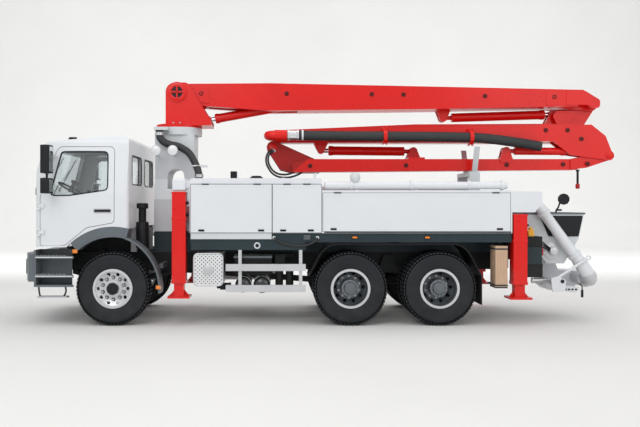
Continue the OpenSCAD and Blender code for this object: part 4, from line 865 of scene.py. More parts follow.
@dataclass
class Livery:
    """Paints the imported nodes, face by face where a node has more than one finish."""

    mirror_y: float = 1.35
    cab_middle: Point = (-3.8, 0.0, 2.2)
    hopper_side_y: float = -0.665
    hopper_rim_z: float = 1.688
    hub_r: float = 0.09
    dish_r: float = 0.268
    dresses: list[Dress] = field(default_factory=list)

    def __post_init__(self) -> None:
        """List the finishes; the first word that a node's name starts with counts."""
        dark_pin = (Coat.BLACK, lambda c, n: c.y < -0.32 and math.hypot(c.x + 2.45, c.z - 3.68) < 0.058)
        self.dresses = [
            Dress("chassis_frame", Coat.BLACK),
            Dress("support_frame", Coat.BLUE_GREY),
            Dress("axles", Coat.BLACK),
            Dress("engine_block", Coat.BLACK),
            Dress("cab_shell", Coat.WHITE, (
                (Coat.PLASTIC, lambda c, n: c.x < -4.58 and 1.26 < c.z < 1.72 and n.x > -0.5),
                (Coat.PLASTIC, lambda c, n: c.z < 1.62 and n.z < -0.3),
                (Coat.LIGHT_GREY, self._inside_cab),
            )),
            Dress("cab_glass", Coat.GLASS),
            Dress("cab_interior", Coat.SEAT),
            Dress("front_bumper", Coat.GREY),
            Dress("lamps", Coat.AMBER, (
                (Coat.LENS, lambda c, n: c.x < -4.5),
                (Coat.RED_LENS, lambda c, n: c.x > 2.9),
            )),
            Dress("rear_mudguards", Coat.PLASTIC),
            Dress("silencer", Coat.STEEL, ((Coat.BLACK, lambda c, n: c.z < 0.622),)),
            Dress("tanks", Coat.GLOSS_BLACK, ((Coat.STEEL, lambda c, n: c.y > 0.0),)),
            Dress("side_guards", Coat.SILVER),
            Dress("pedestal", Coat.LIGHT_GREY),
            Dress("pump_body", Coat.WHITE),
            Dress("pump_unit", Coat.GREY),
            Dress("hopper", Coat.LIGHT_GREY, (
                (Coat.WHITE, lambda c, n: c.y < self.hopper_side_y or c.z < 0.9),
                # The hopper's inside is painted black as shade in its hollow.
                (Coat.PLASTIC, self._hopper_inside_shade),
            )),
            Dress("boom_rest", Coat.LIGHT_GREY),
            Dress("timber_blocks", Coat.TIMBER),
            Dress("rim", Coat.SILVER, (
                (Coat.BLACK, lambda c, n: self._near(c, self.hub_r)),
                (Coat.DISH, lambda c, n: self._near(c, self.dish_r, AXLES_X[1:])),
            )),
            Dress("knuckle", Coat.BLACK),
            Dress("door_glass", Coat.GLASS),
            Dress("door", Coat.WHITE, (
                (Coat.PLASTIC, lambda c, n: abs(c.y) > self.mirror_y),
                (Coat.PLASTIC, lambda c, n: abs(c.y) > 1.241 and 1.72 < c.z < 1.77),
                (Coat.LIGHT_GREY, lambda c, n: n.y * c.y < -0.6 and abs(c.y) < 1.19),
            )),
            Dress("turret", Coat.RED, (dark_pin,)),
            # The third section's knuckle end takes the boom red darkened as painted shade.
            Dress("boom_3", Coat.RED, ((Coat.DARK_RED, lambda c, n: c.x < -0.1),)),
            Dress("boom", Coat.RED),
            Dress("barrel", Coat.RED),
            Dress("rod", Coat.CHROME),
            Dress("arm", Coat.RED),
            Dress("leg", Coat.RED),
            Dress("tyre", Coat.TYRE),
            Dress("end_hose", Coat.HOSE),
            Dress("feed_hoses", Coat.HOSE),
        ]

    def _inside_cab(self, c: Vector, n: Vector) -> bool:
        """Whether a face of the cab looks into its hollow."""
        hollow = c.z > 1.6 and -4.53 < c.x < -3.1 and abs(c.y) < 1.19
        return hollow and n.dot(Vector(self.cab_middle) - c) > 0.25

    def _hopper_inside_shade(self, c: Vector, n: Vector) -> bool:
        """Whether a face belongs to the hopper's inside, below its rim; these faces are painted black as
        shade in the hollow.
        """
        return abs(c.y) < 0.622 and 3.19 < c.x < 4.25 and 0.93 < c.z < self.hopper_rim_z and n.z > -0.2

    @staticmethod
    def _near(c: Vector, radius: float, axles: Sequence[float] = AXLES_X) -> bool:
        """Whether a face lies within a radius of an axle, seen from the side."""
        return any(math.hypot(c.x - x, c.z - AXLE_Z) < radius for x in axles)

    def apply(self, nodes: dict[str, Object]) -> None:
        """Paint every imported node.

        Args:
            nodes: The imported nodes' objects by name.
        """
        for name, obj in nodes.items():
            dress = next(d for d in self.dresses if name.startswith(d.start))
            obj.data.materials.clear()
            obj.data.materials.append(Shop.get(dress.base))
            for number, (coat, test) in enumerate(dress.others, 1):
                obj.data.materials.append(Shop.get(coat))
                for face in obj.data.polygons:
                    if face.material_index == 0 and test(face.center, face.normal):
                        face.material_index = number
        LOG.info("painted %d packed nodes", len(nodes))


@dataclass
class Studio:
    """Pale floor, soft light and the camera at the photograph's viewpoint."""

    eye: Point = (-0.812, -12.55, 1.827)
    focal_px: float = 748.0
    width_px: float = 640.0
    shift: tuple[float, float] = (0.067, -0.013)
    sensor: float = 36.0
    floor: float = 240.0
    wall_y: float = 18.0
    wall_h: float = 20.0
    bend_r: float = 8.0
    bend_steps: int = 12

    def camera(self) -> Object:
        """Place the camera.

        Returns:
            The camera object.
        """
        data = bpy.data.cameras.new("viewpoint")
        data.sensor_width = self.sensor
        data.lens = self.focal_px / self.width_px * self.sensor
        data.shift_x, data.shift_y = self.shift
        data.clip_end = 200.0
        obj = bpy.data.objects.new("viewpoint", data)
        obj.location = self.eye
        obj.rotation_euler = (math.pi / 2, 0.0, 0.0)
        bpy.context.scene.collection.objects.link(obj)
        bpy.context.scene.camera = obj
        return obj

    def ground(self) -> None:
        """Lay the pale floor, which curves up into a backdrop behind the truck."""
        Bench.clear()
        bpy.ops.mesh.primitive_plane_add(size=self.floor, location=(0.0, self.wall_y - self.floor / 2, 0.0))
        obj = bpy.context.active_object
        bpy.ops.object.transform_apply(location=True, rotation=True, scale=True)
        for part in (*obj.data.polygons, *obj.data.vertices):
            part.select = False
        for edge in obj.data.edges:
            edge.select = all(obj.data.vertices[i].co.y > self.wall_y - 0.1 for i in edge.vertices)
        Bench.mode("EDIT")
        bpy.ops.mesh.select_mode(type="EDGE")
        step = math.pi / 2 / self.bend_steps
        for i in range(self.bend_steps):
            a = step * (i + 0.5)
            reach = 2 * self.bend_r * math.sin(step / 2)
            bpy.ops.mesh.extrude_edges_move(
                TRANSFORM_OT_translate={"value": (0, reach * math.cos(a), reach * math.sin(a))})
        bpy.ops.mesh.extrude_edges_move(TRANSFORM_OT_translate={"value": (0, 0, self.wall_h)})
        Bench.mode()
        bpy.ops.object.shade_smooth()
        recipe = Recipe("studio_floor")
        tone = recipe.blend(recipe.spread(recipe.noise(0.4, 3.0), 0.0, 1.0, 0.35, 0.65), (0.74, 0.735, 0.72),
            (0.72, 0.715, 0.7))
        recipe.put("Base Color", tone)
        recipe.put("Roughness", 0.85)
        obj.data.materials.append(recipe.material)
        obj.name = "studio_floor"

    def lights(self) -> None:
        """Hang soft lamps over and beside the truck, in a pale surround."""
        for name, at, aim, size, power in (
            ("key", (-5.0, -11.0, 9.0), (0.0, 0.0, 1.2), 7.0, 420.0),
            ("fill", (8.0, -10.0, 6.0), (1.0, 0.0, 1.2), 7.0, 180.0),
            ("back", (1.0, 9.0, 9.0), (0.0, 0.0, 1.5), 8.0, 260.0),
            ("top", (0.0, 0.0, 11.0), (0.0, 0.0, 0.0), 9.0, 220.0),
            ("wash_left", (-11.0, 8.0, 10.0), (-11.0, 24.0, 5.0), 10.0, 1150.0),
            ("wash_right", (11.0, 8.0, 10.0), (11.0, 24.0, 5.0), 10.0, 1150.0),
        ):
            data = bpy.data.lights.new(name, "AREA")
            data.size = size
            data.energy = power
            obj = bpy.data.objects.new(name, data)
            obj.location = at
            obj.rotation_euler = (Vector(aim) - Vector(at)).to_track_quat("-Z", "Y").to_euler()
            bpy.context.scene.collection.objects.link(obj)
        world = bpy.data.worlds.new("surround")
        world.use_nodes = True
        world.node_tree.nodes["Background"].inputs["Color"].default_value = (0.9, 0.91, 0.92, 1.0)
        world.node_tree.nodes["Background"].inputs["Strength"].default_value = 0.92
        bpy.context.scene.world = world
        bpy.context.scene.view_settings.view_transform = "Standard"

    def build(self) -> None:
        """Make the whole studio."""
        self.camera()
        self.ground()
        self.lights()


@dataclass(frozen=True)
class SmallHose:
    """A hydraulic hose that is fixed at both ends."""

    name: str
    body: str
    radius: float
    route: tuple[Point, ...]


@dataclass
class Hoses:
    """The feed hose behind the cab, the small hoses and the end hose on the fourth boom section."""

    small: tuple[SmallHose, ...] = (
        SmallHose("knuckle_hose_1", "boom_3", 0.016, (
            (-0.3, -0.105, 2.52), (-0.4, -0.115, 2.455), (-0.54, -0.13, 2.37), (-0.7, -0.14, 2.335),
            (-0.84, -0.14, 2.37), (-0.93, -0.13, 2.47), (-0.96, -0.12, 2.58), (-0.935, -0.11, 2.68),
            (-0.86, -0.1, 2.735))),
        SmallHose("knuckle_hose_2", "boom_3", 0.016, (
            (-0.26, -0.105, 2.48), (-0.36, -0.12, 2.4), (-0.51, -0.15, 2.315), (-0.69, -0.165, 2.285),
            (-0.85, -0.16, 2.325), (-0.955, -0.145, 2.44), (-0.995, -0.13, 2.57), (-0.965, -0.115, 2.695),
            (-0.89, -0.1, 2.765))),
        SmallHose("skirt_hose", "chassis", 0.016, (
            (-0.86, -1.23, 1.335), (-0.82, -1.232, 1.3), (-0.75, -1.234, 1.262), (-0.66, -1.235, 1.232),
            (-0.56, -1.236, 1.215), (-0.46, -1.236, 1.212), (-0.37, -1.235, 1.224), (-0.29, -1.234, 1.25),
            (-0.23, -1.232, 1.29), (-0.2, -1.23, 1.335))),
    )

    feed_r: float = 0.058
    feed_route: tuple[Point, ...] = (
        (-2.72, -0.44, 3.04), (-2.72, -0.44, 2.984), (-2.7, -0.444, 2.911), (-2.64, -0.451, 2.847),
        (-2.54, -0.454, 2.807), (-2.42, -0.461, 2.782), (-2.31, -0.475, 2.726), (-2.22, -0.51, 2.654),
        (-2.15, -0.57, 2.549), (-2.09, -0.65, 2.436), (-2.055, -0.741, 2.348), (-2.04, -0.79, 2.291),
        (-2.04, -0.79, 2.235),
    )
    end_r: float = 0.08
    end_y: float = -0.41
    end_route: Pairs = (
        (-0.65, 2.963), (-0.56, 2.963), (-0.2, 2.956), (0.2, 2.95), (0.6, 2.947), (0.938, 2.945),
        (1.3, 2.942), (1.7, 2.938), (2.05, 2.932), (2.335, 2.925), (2.5, 2.915), (2.7, 2.896),
        (2.9, 2.87), (3.1, 2.841), (3.3, 2.809), (3.465, 2.78),
    )

    @staticmethod
    def length(points: Sequence[Point]) -> float:
        """Length of a route of straight steps."""
        return sum((Vector(b) - Vector(a)).length for a, b in zip(points, points[1:]))

    @staticmethod
    def arc(obj: Object) -> float:
        """Length of a curve as it is drawn.

        Args:
            obj: The curve.

        Returns:
            Its length in metres.
        """
        depth, obj.data.bevel_depth = obj.data.bevel_depth, 0.0
        mesh = obj.to_mesh()
        total = sum((mesh.vertices[e.vertices[0]].co - mesh.vertices[e.vertices[1]].co).length
            for e in mesh.edges)
        obj.to_mesh_clear()
        obj.data.bevel_depth = depth
        return total

    def feed(self) -> None:
        """Hang the feed hose from its clamp to the front body's top."""
        obj = Bench.line(self.feed_route, self.feed_r, 8)
        Shop.fit("feed_hose", Coat.HOSE, obj)
        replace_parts(obj, "feed_hoses")
        for name, at in (("feed_collar_top", self.feed_route[1]), ("feed_collar_foot", self.feed_route[-2])):
            ring = Bench.stepped((at[0], at[1], at[2] - 0.03), Axis.HEIGHT,
                ((0.06, 0.0), (0.071, 0.004), (0.071, 0.05), (0.06, 0.054)))
            Shop.fit(name, Coat.STEEL, ring)

    def end(self) -> None:
        """Lay the end hose along the fourth section, with its coupling and end band."""
        route = tuple((x, self.end_y, z) for x, z in self.end_route)
        obj = Bench.pipe(route, self.end_r, 8)
        Shop.fit("end_hose_tube", Coat.HOSE, obj, body="boom_4")
        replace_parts(obj, "end_hose")
        x, z = self.end_route[0]
        sleeve = Bench.stepped((x + 0.002, self.end_y, z), Axis.LENGTH, ((0.081, 0.0), (0.092, 0.006),
            (0.092, 0.03), (0.085, 0.036), (0.085, 0.15), (0.091, 0.156), (0.091, 0.186), (0.081, 0.192)))
        Shop.fit("end_hose_coupling", Coat.CHROME, sleeve, body="boom_4")
        band = Bench.stepped((x + 0.235, self.end_y, z), Axis.LENGTH,
            ((0.081, 0.0), (0.085, 0.003), (0.085, 0.027), (0.081, 0.03)))
        Shop.fit("end_hose_band", Coat.WHITE, band, body="boom_4")

    def loops(self) -> None:
        """Hang the small hoses, each between two nuts."""
        for hose in self.small:
            obj = Bench.line(hose.route, hose.radius, 4)
            Shop.fit(hose.name, Coat.HOSE, obj, body=hose.body)
            round(self.arc(obj), 3)
            r = hose.radius
            nuts = [Bench.stepped((at[0], at[1] + 0.026, at[2]), Axis.WIDTH, ((r + 0.011, 0.0),
                (r + 0.011, 0.014), (r + 0.004, 0.016), (r + 0.004, 0.034)), 6)
                for at in (hose.route[0], hose.route[-1])]
            Shop.fit(f"{hose.name}_nuts", Coat.STEEL, *nuts, body=hose.body)

    def build(self) -> None:
        """Make every hose."""
        self.feed()
        self.loops()
        self.end()


@dataclass
class Wheel:
    """One road wheel: its tread, sidewalls, nuts and hub cap."""

    name: str
    x: float
    y: float
    side: int
    twin: bool = False


@dataclass
class Wheels:
    """Tyres with block tread, wheel nuts and hub caps for all six wheels."""

    tyre_r: float = 0.562
    tread: float = 0.018
    groove: float = 0.018
    band_half: float = 0.112
    shoulder: tuple[float, float] = (0.514, 0.135)
    twin_half: float = 0.17
    nut_ring: float = 0.168
    nuts: int = 10
    steps: int = 60
    rings: Pairs = (
        (0.505, 0.1405), (0.49, 0.147), (0.468, 0.1495), (0.466, 0.1475), (0.42, 0.1495), (0.38, 0.1475),
        (0.378, 0.1455), (0.336, 0.1435), (0.304, 0.13), (0.2868, 0.112),
    )
    wheels: tuple[Wheel, ...] = (
        Wheel("front_left", -3.3, -1.1, -1), Wheel("front_right", -3.3, 1.1, 1),
        Wheel("mid_left", 0.3, -0.93, -1, True), Wheel("mid_right", 0.3, 0.93, 1, True),
        Wheel("back_left", 1.65, -0.93, -1, True), Wheel("back_right", 1.65, 0.93, 1, True),
    )

    def tyre(self) -> Object:
        """Model one tyre about the origin, its axis along Z.

        Returns:
            The tyre: block tread raised from a band, and sidewalls drawn in ring by ring.
        """
        Bench.clear()
        base = self.tyre_r - self.tread
        bpy.ops.mesh.primitive_cylinder_add(vertices=self.steps, radius=base, depth=2 * self.band_half,
                                            end_fill_type="NOTHING")
        obj = bpy.context.active_object
        Bench.mode("EDIT")
        bpy.ops.mesh.select_mode(type="EDGE")
        bpy.ops.mesh.select_all(action="DESELECT")
        Bench.mode()
        for edge in obj.data.edges:
            a, b = (obj.data.vertices[i].co for i in edge.vertices)
            edge.select = abs(a.z - b.z) > 0.1
        Bench.mode("EDIT")
        bpy.ops.mesh.subdivide(number_cuts=3)
        Bench.mode()
        for top in (1, -1):
            self._draw_in(obj, top, base, self.band_half, (self.shoulder,))
        Bench.edit(obj)
        bpy.ops.mesh.normals_make_consistent(inside=False)
        bpy.ops.mesh.inset(
            thickness=self.groove / 2, depth=self.tread, use_individual=True, use_boundary=True)
        Bench.mode()
        for coat in (Coat.TYRE, Coat.GROOVE, Coat.LUG):
            obj.data.materials.append(Shop.get(coat))
        # Groove faces take the rubber darkened as painted shade; lug tops take the tread rubber.
        for face in obj.data.polygons:
            face.material_index = 2 if face.select else 1
        for top in (1, -1):
            self._draw_in(obj, top, *self.shoulder, self.rings)
        for face in obj.data.polygons:
            if math.hypot(face.center.x, face.center.y) < self.shoulder[0] - 0.003:
                face.material_index = 0
        Bench.edit(obj)
        bpy.ops.mesh.remove_doubles(threshold=0.0002)
        return Bench.settle(Bench.outwards(obj), 30.0)

    def _draw_in(self, obj: Object, top: int, start: float, level: float,
                 rings: Pairs) -> None:
        """Draw one open edge of the tyre in through rings.

        Args:
            obj: The tyre under work.
            top: Side of the tyre, 1 or -1.
            start: Radius of the open edge.
            level: Its distance from the tyre's middle.
            rings: Radius and distance of each ring to draw.
        """
        Bench.pick(obj)
        for part in (*obj.data.polygons, *obj.data.edges, *obj.data.vertices):
            part.select = False
        for edge in obj.data.edges:
            ends = [obj.data.vertices[i].co for i in edge.vertices]
            edge.select = all(abs(p.z * top - level) < 0.0002 and abs(math.hypot(p.x, p.y) - start) < 0.001
                for p in ends)
        Bench.mode("EDIT")
        bpy.ops.mesh.select_mode(type="EDGE")
        for radius, out in rings:
            bpy.ops.mesh.extrude_edges_move(TRANSFORM_OT_translate={"value": (0, 0, (out - level) * top)})
            share = radius / start
            bpy.ops.transform.resize(value=(share, share, 1.0))
            start, level = radius, out
        Bench.mode()

    def place(self, obj: Object, wheel: Wheel, out: float) -> Object:
        """Turn a piece's Z axis to a wheel's outer side and put it on the wheel's axis.

        Args:
            obj: The piece, about the origin.
            wheel: The wheel that it belongs to.
            out: Distance outwards from the wheel's middle.

        Returns:
            The settled piece.
        """
        obj.rotation_euler = (-wheel.side * math.pi / 2, 0.0, 0.0)
        obj.location = (wheel.x, wheel.y + wheel.side * out, AXLE_Z)
        return Bench.settle(obj, 30.0)

    def washers(self, wheel: Wheel, body: str, face: float) -> None:
        """Seat a front wheel's nuts on dark washers, or bolt a twin wheel's hub.

        Args:
            wheel: The wheel.
            body: The body that carries it.
            face: Distance of its disc outwards from the wheel's middle.
        """
        reach, out, profile, coat = ((0.118, 0.224, ((0.01, 0.0), (0.01, 0.012), (0.006, 0.018)), Coat.STEEL)
            if wheel.twin else (self.nut_ring, face, ((0.03, -0.001), (0.03, 0.003), (0.022, 0.004)),
            Coat.GREY))
        disc = Bench.stepped((reach, 0, 0), Axis.HEIGHT, profile, 16)
        discs = Bench.joined(*Bench.ring(disc, self.nuts, "Z", start=0.5))
        Shop.fit(f"hub_ring_{wheel.name}", coat, self.place(discs, wheel, out), body=body,
            slot="silver_paint")

    def build(self) -> None:
        """Fit every wheel with its tyres, nuts and hub cap."""
        model = self.tyre()
        turns = [2 * math.pi * (i + 0.5) / self.nuts for i in range(self.nuts)]
        spots = [(self.nut_ring * math.cos(turn), self.nut_ring * math.sin(turn), 0.0) for turn in turns]
        for wheel in self.wheels:
            body = f"wheel_{wheel.name}"
            outs = (-self.twin_half, self.twin_half) if wheel.twin else (0.0,)
            tyre = Bench.joined(*(self.place(Bench.twin(model), wheel, out) for out in outs))
            tyre.name = f"tread_{wheel.name}"
            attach(tyre, body)
            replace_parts(tyre, f"tyre_{wheel.name}")
            face = 0.016 if wheel.twin else 0.074
            nut = Bench.stepped(ORIGIN, Axis.HEIGHT, ((0.021, 0.0), (0.021, 0.005), (0.0165, 0.005),
                (0.0165, 0.026), (0.011, 0.031)), 6)
            nuts = self.place(Bench.joined(*Bench.row(nut, spots)), wheel, face)
            Shop.fit(f"nuts_{wheel.name}", Coat.STEEL, nuts, body=body, slot="silver_paint")
            self.washers(wheel, body, face)
            foot = 0.266 if wheel.twin else 0.141
            cap = Bench.stepped(ORIGIN, Axis.HEIGHT, ((0.088, -0.003), (0.088, 0.004), (0.08, 0.01),
                (0.05, 0.013), (0.046, 0.02), (0.03, 0.022)), 24)
            Shop.fit(f"cap_{wheel.name}", Coat.GREY if wheel.twin else Coat.BLACK,
                self.place(cap, wheel, foot), body=body, slot="grey_paint")
        bpy.data.objects.remove(model)


@dataclass
class CabTrim:
    """Seals, handles, wipers, lamps and steps on the cab and its doors."""

    side_y: float = 1.24
    waist_z: float = 2.0
    lean: float = 0.0766
    front_x: float = -4.6
    door_window: Pairs = (
        (-3.379, 2.06), (-3.379, 2.64), (-4.08, 2.64), (-4.25, 1.975), (-3.95, 1.975))
    door_radii: tuple[float, ...] = (0.07, 0.07, 0.06, 0.06, 0.2)
    screen: Pairs = ((-1.04, 1.995), (1.04, 1.995), (1.01, 2.69), (-1.01, 2.69))
    rear_pane: tuple[float, float, float, float] = (0.15, 0.95, 2.15, 2.6)
    back_x: float = -3.062
    seal: float = 0.01
    mirror_heads: Pairs = ((2.3, 2.713), (2.004, 2.226))
    tread_levels: tuple[float, ...] = (0.77, 1.057)

    def skin_y(self, z: float) -> float:
        """Distance of the cab's side from the middle of the truck at a height."""
        return self.side_y - self.lean * max(0.0, z - self.waist_z)

    def screen_x(self, y: float, z: float) -> float:
        """Place along the truck of the cab's front skin at a point of the windscreen.

        Args:
            y: Distance across the truck.
            z: Height.

        Returns:
            The place.
        """
        slope = -4.57 + 0.24 * (z - 1.95) / 0.843
        plan = self.front_x + max(0.0, abs(y) - 0.8) * 0.34
        return max(slope, plan)

    def seals(self) -> None:
        """Run black rubber round every window."""
        ring = Bench.rounded(self.door_window, self.door_radii)
        path = [(x, -self.skin_y(z) + 0.002, z) for x, z in ring]
        Shop.pair("door_seal", Coat.PLASTIC, Bench.pipe(path, self.seal, 3, True), body="door_left")
        ring = Bench.rounded(self.screen, (0.07,) * 4)
        path = [(self.screen_x(y, z) + 0.002, y, z) for y, z in ring]
        Shop.fit("screen_seal", Coat.PLASTIC, Bench.pipe(path, 0.013, 3, True))
        y0, y1, z0, z1 = self.rear_pane
        ring = Bench.rounded(((-y1, z0), (-y0, z0), (-y0, z1), (-y1, z1)), (0.06,) * 4)
        path = [(self.back_x - 0.002, y, z) for y, z in ring]
        Shop.pair("rear_seal", Coat.PLASTIC, Bench.pipe(path, self.seal, 3, True))

    def doors(self) -> None:
        """Fit the handle dishes and the mirror panes."""
        dish = Bench.panel((-3.598, -1.246, 1.7), (-3.308, -1.236, 1.786), 0.01, -0.007, 0.004)
        Shop.pair("handle_dish", Coat.WHITE, dish, body="door_left")
        for number, (z0, z1) in enumerate(self.mirror_heads):
            pane = Bench.block((-4.15, -1.585, z0 + 0.022), (-4.144, -1.428, z1 - 0.022), 0.002)
            Bench.inset(pane, lambda c, n: n.x > 0.9, (0.006, -0.002))
            Shop.pair(f"mirror_pane_{number}", Coat.MIRROR, pane, body="door_left")
            shell = Bench.block((-4.288, -1.606, z0 - 0.006), (-4.16, -1.404, z1 + 0.006), 0.04, 5)
            Shop.pair(f"mirror_shell_{number}", Coat.PLASTIC, shell, body="door_left")

    def front(self) -> None:
        """Fit wipers, grille fins, head lamps and the bumper's trim."""
        for side, foot in (("left", -0.62), ("right", 0.12)):
            tip = foot + 0.42
            z0, z1 = 1.965, 2.42
            arm = Bench.pipe([(self.screen_x(foot, z0) - 0.03, foot, z0 - 0.02),
                (self.screen_x(foot, z0) - 0.035, foot + 0.03, z0 + 0.06),
                (self.screen_x(tip, z1) - 0.022, tip, z1)], 0.008)
            blade = Bench.pipe([(self.screen_x(tip - 0.3, 2.07) - 0.012, tip - 0.3, 2.07),
                (self.screen_x(tip, 2.42) - 0.013, tip + 0.02, 2.42),
                (self.screen_x(tip + 0.2, 2.62) - 0.012, tip + 0.18, 2.62)], 0.01)
            hub = Bench.stepped((self.screen_x(foot, z0) - 0.002, foot, z0 - 0.02), Axis.LENGTH,
                ((0.03, 0.0), (0.03, 0.02), (0.02, 0.035)), 16, True)
            Shop.fit(f"wiper_{side}", Coat.PLASTIC, arm, blade, hub)
        fin = Bench.block((-4.592, -0.008, 1.268), (-4.58, 0.008, 1.672), 0.003, 1)
        fins = Bench.row(fin, [(0.0, -0.76 + 0.08 * i, 0.0) for i in range(20)])
        Shop.fit("grille_fins", Coat.PLASTIC, *fins)
        lamps = []
        for y in (-0.86, -0.71):
            lamps.append(Bench.stepped((-4.697, y, 0.88), Axis.LENGTH, ((0.066, 0.0), (0.066, 0.006),
                (0.058, 0.007), (0.05, 0.003), (0.03, 0.006), (0.012, 0.008)), 28, True))
        Shop.pair("head_lamp", Coat.LENS, *lamps)
        ring = Bench.rounded(((-0.945, 0.765), (-0.615, 0.765), (-0.615, 0.995), (-0.945, 0.995)),
            (0.03,) * 4)
        frame = Bench.pipe([(-4.699, y, z) for y, z in ring], 0.006, 3, True)
        Shop.pair("lamp_frame", Coat.PLASTIC, frame)

    def roof(self) -> None:
        """Put the black marker lamps on the roof's edges."""
        base = Bench.block((-4.035, -1.03, 2.812), (-3.888, -0.975, 2.852), 0.012, 3)
        cap = Bench.block((-4.025, -1.025, 2.85), (-3.9, -0.98, 2.878), 0.014, 3)
        Shop.pair("roof_marker", Coat.PLASTIC, base, cap)

    def steps(self) -> None:
        """Fit the ribbed treads, the hanging step below them and the mudguards' lamps."""
        for number, z in enumerate(self.tread_levels):
            rib = Bench.block((-4.455, -1.238, z + 0.001), (-4.425, -0.985, z + 0.009), 0.003, 1)
            ribs = Bench.row(rib, [(0.058 * i, 0.0, 0.0) for i in range(8)])
            nose = Bench.pipe([(-4.47, -1.246, z - 0.02), (-4.2, -1.246, z - 0.02),
                (-3.905, -1.246, z - 0.02)], 0.012)
            Shop.pair(f"tread_{number}", Coat.SILVER, *ribs, nose)
        legs = [Bench.pipe([(x, -1.215, 0.6), (x + 0.01, -1.222, 0.52), (x + s * 0.028, -1.224, 0.435)],
            0.013) for x, s in ((-4.425, 1), (-4.02, -1))]
        tread = Bench.block((-4.446, -1.243, 0.422), (-3.986, -1.11, 0.446), 0.008, 3)
        Bench.inset(tread, lambda c, n: n.z > 0.9, (0.014, -0.008))
        Shop.pair("hanging_tread", Coat.SILVER, tread)
        Shop.pair("hanging_step", Coat.PLASTIC, *legs)
        for name, x, z in (("arch_lamp_front", -3.865, 1.13), ("arch_lamp_back", -2.607, 0.585)):
            lamp = Bench.panel((x - 0.036, -1.262, z - 0.028), (x + 0.036, -1.236, z + 0.028), 0.01, 0.005)
            Shop.pair(name, Coat.AMBER, lamp)
        arcs = []
        for x, r, wire, turns in (
            (-3.3, 0.79, 0.011, range(76, 133, 4)), (-3.42, 0.825, 0.014, range(-4, 70, 5)),
        ):
            path = [(x + r * math.cos(math.radians(a)), -1.243, AXLE_Z + r * math.sin(math.radians(a)))
                for a in turns]
            arcs.append(Bench.pipe(path, wire, 3))
        Shop.pair("arch_lip", Coat.GREY, *arcs)

    def build(self) -> None:
        """Make all the cab's trim."""
        self.seals()
        self.doors()
        self.front()
        self.roof()
        self.steps()


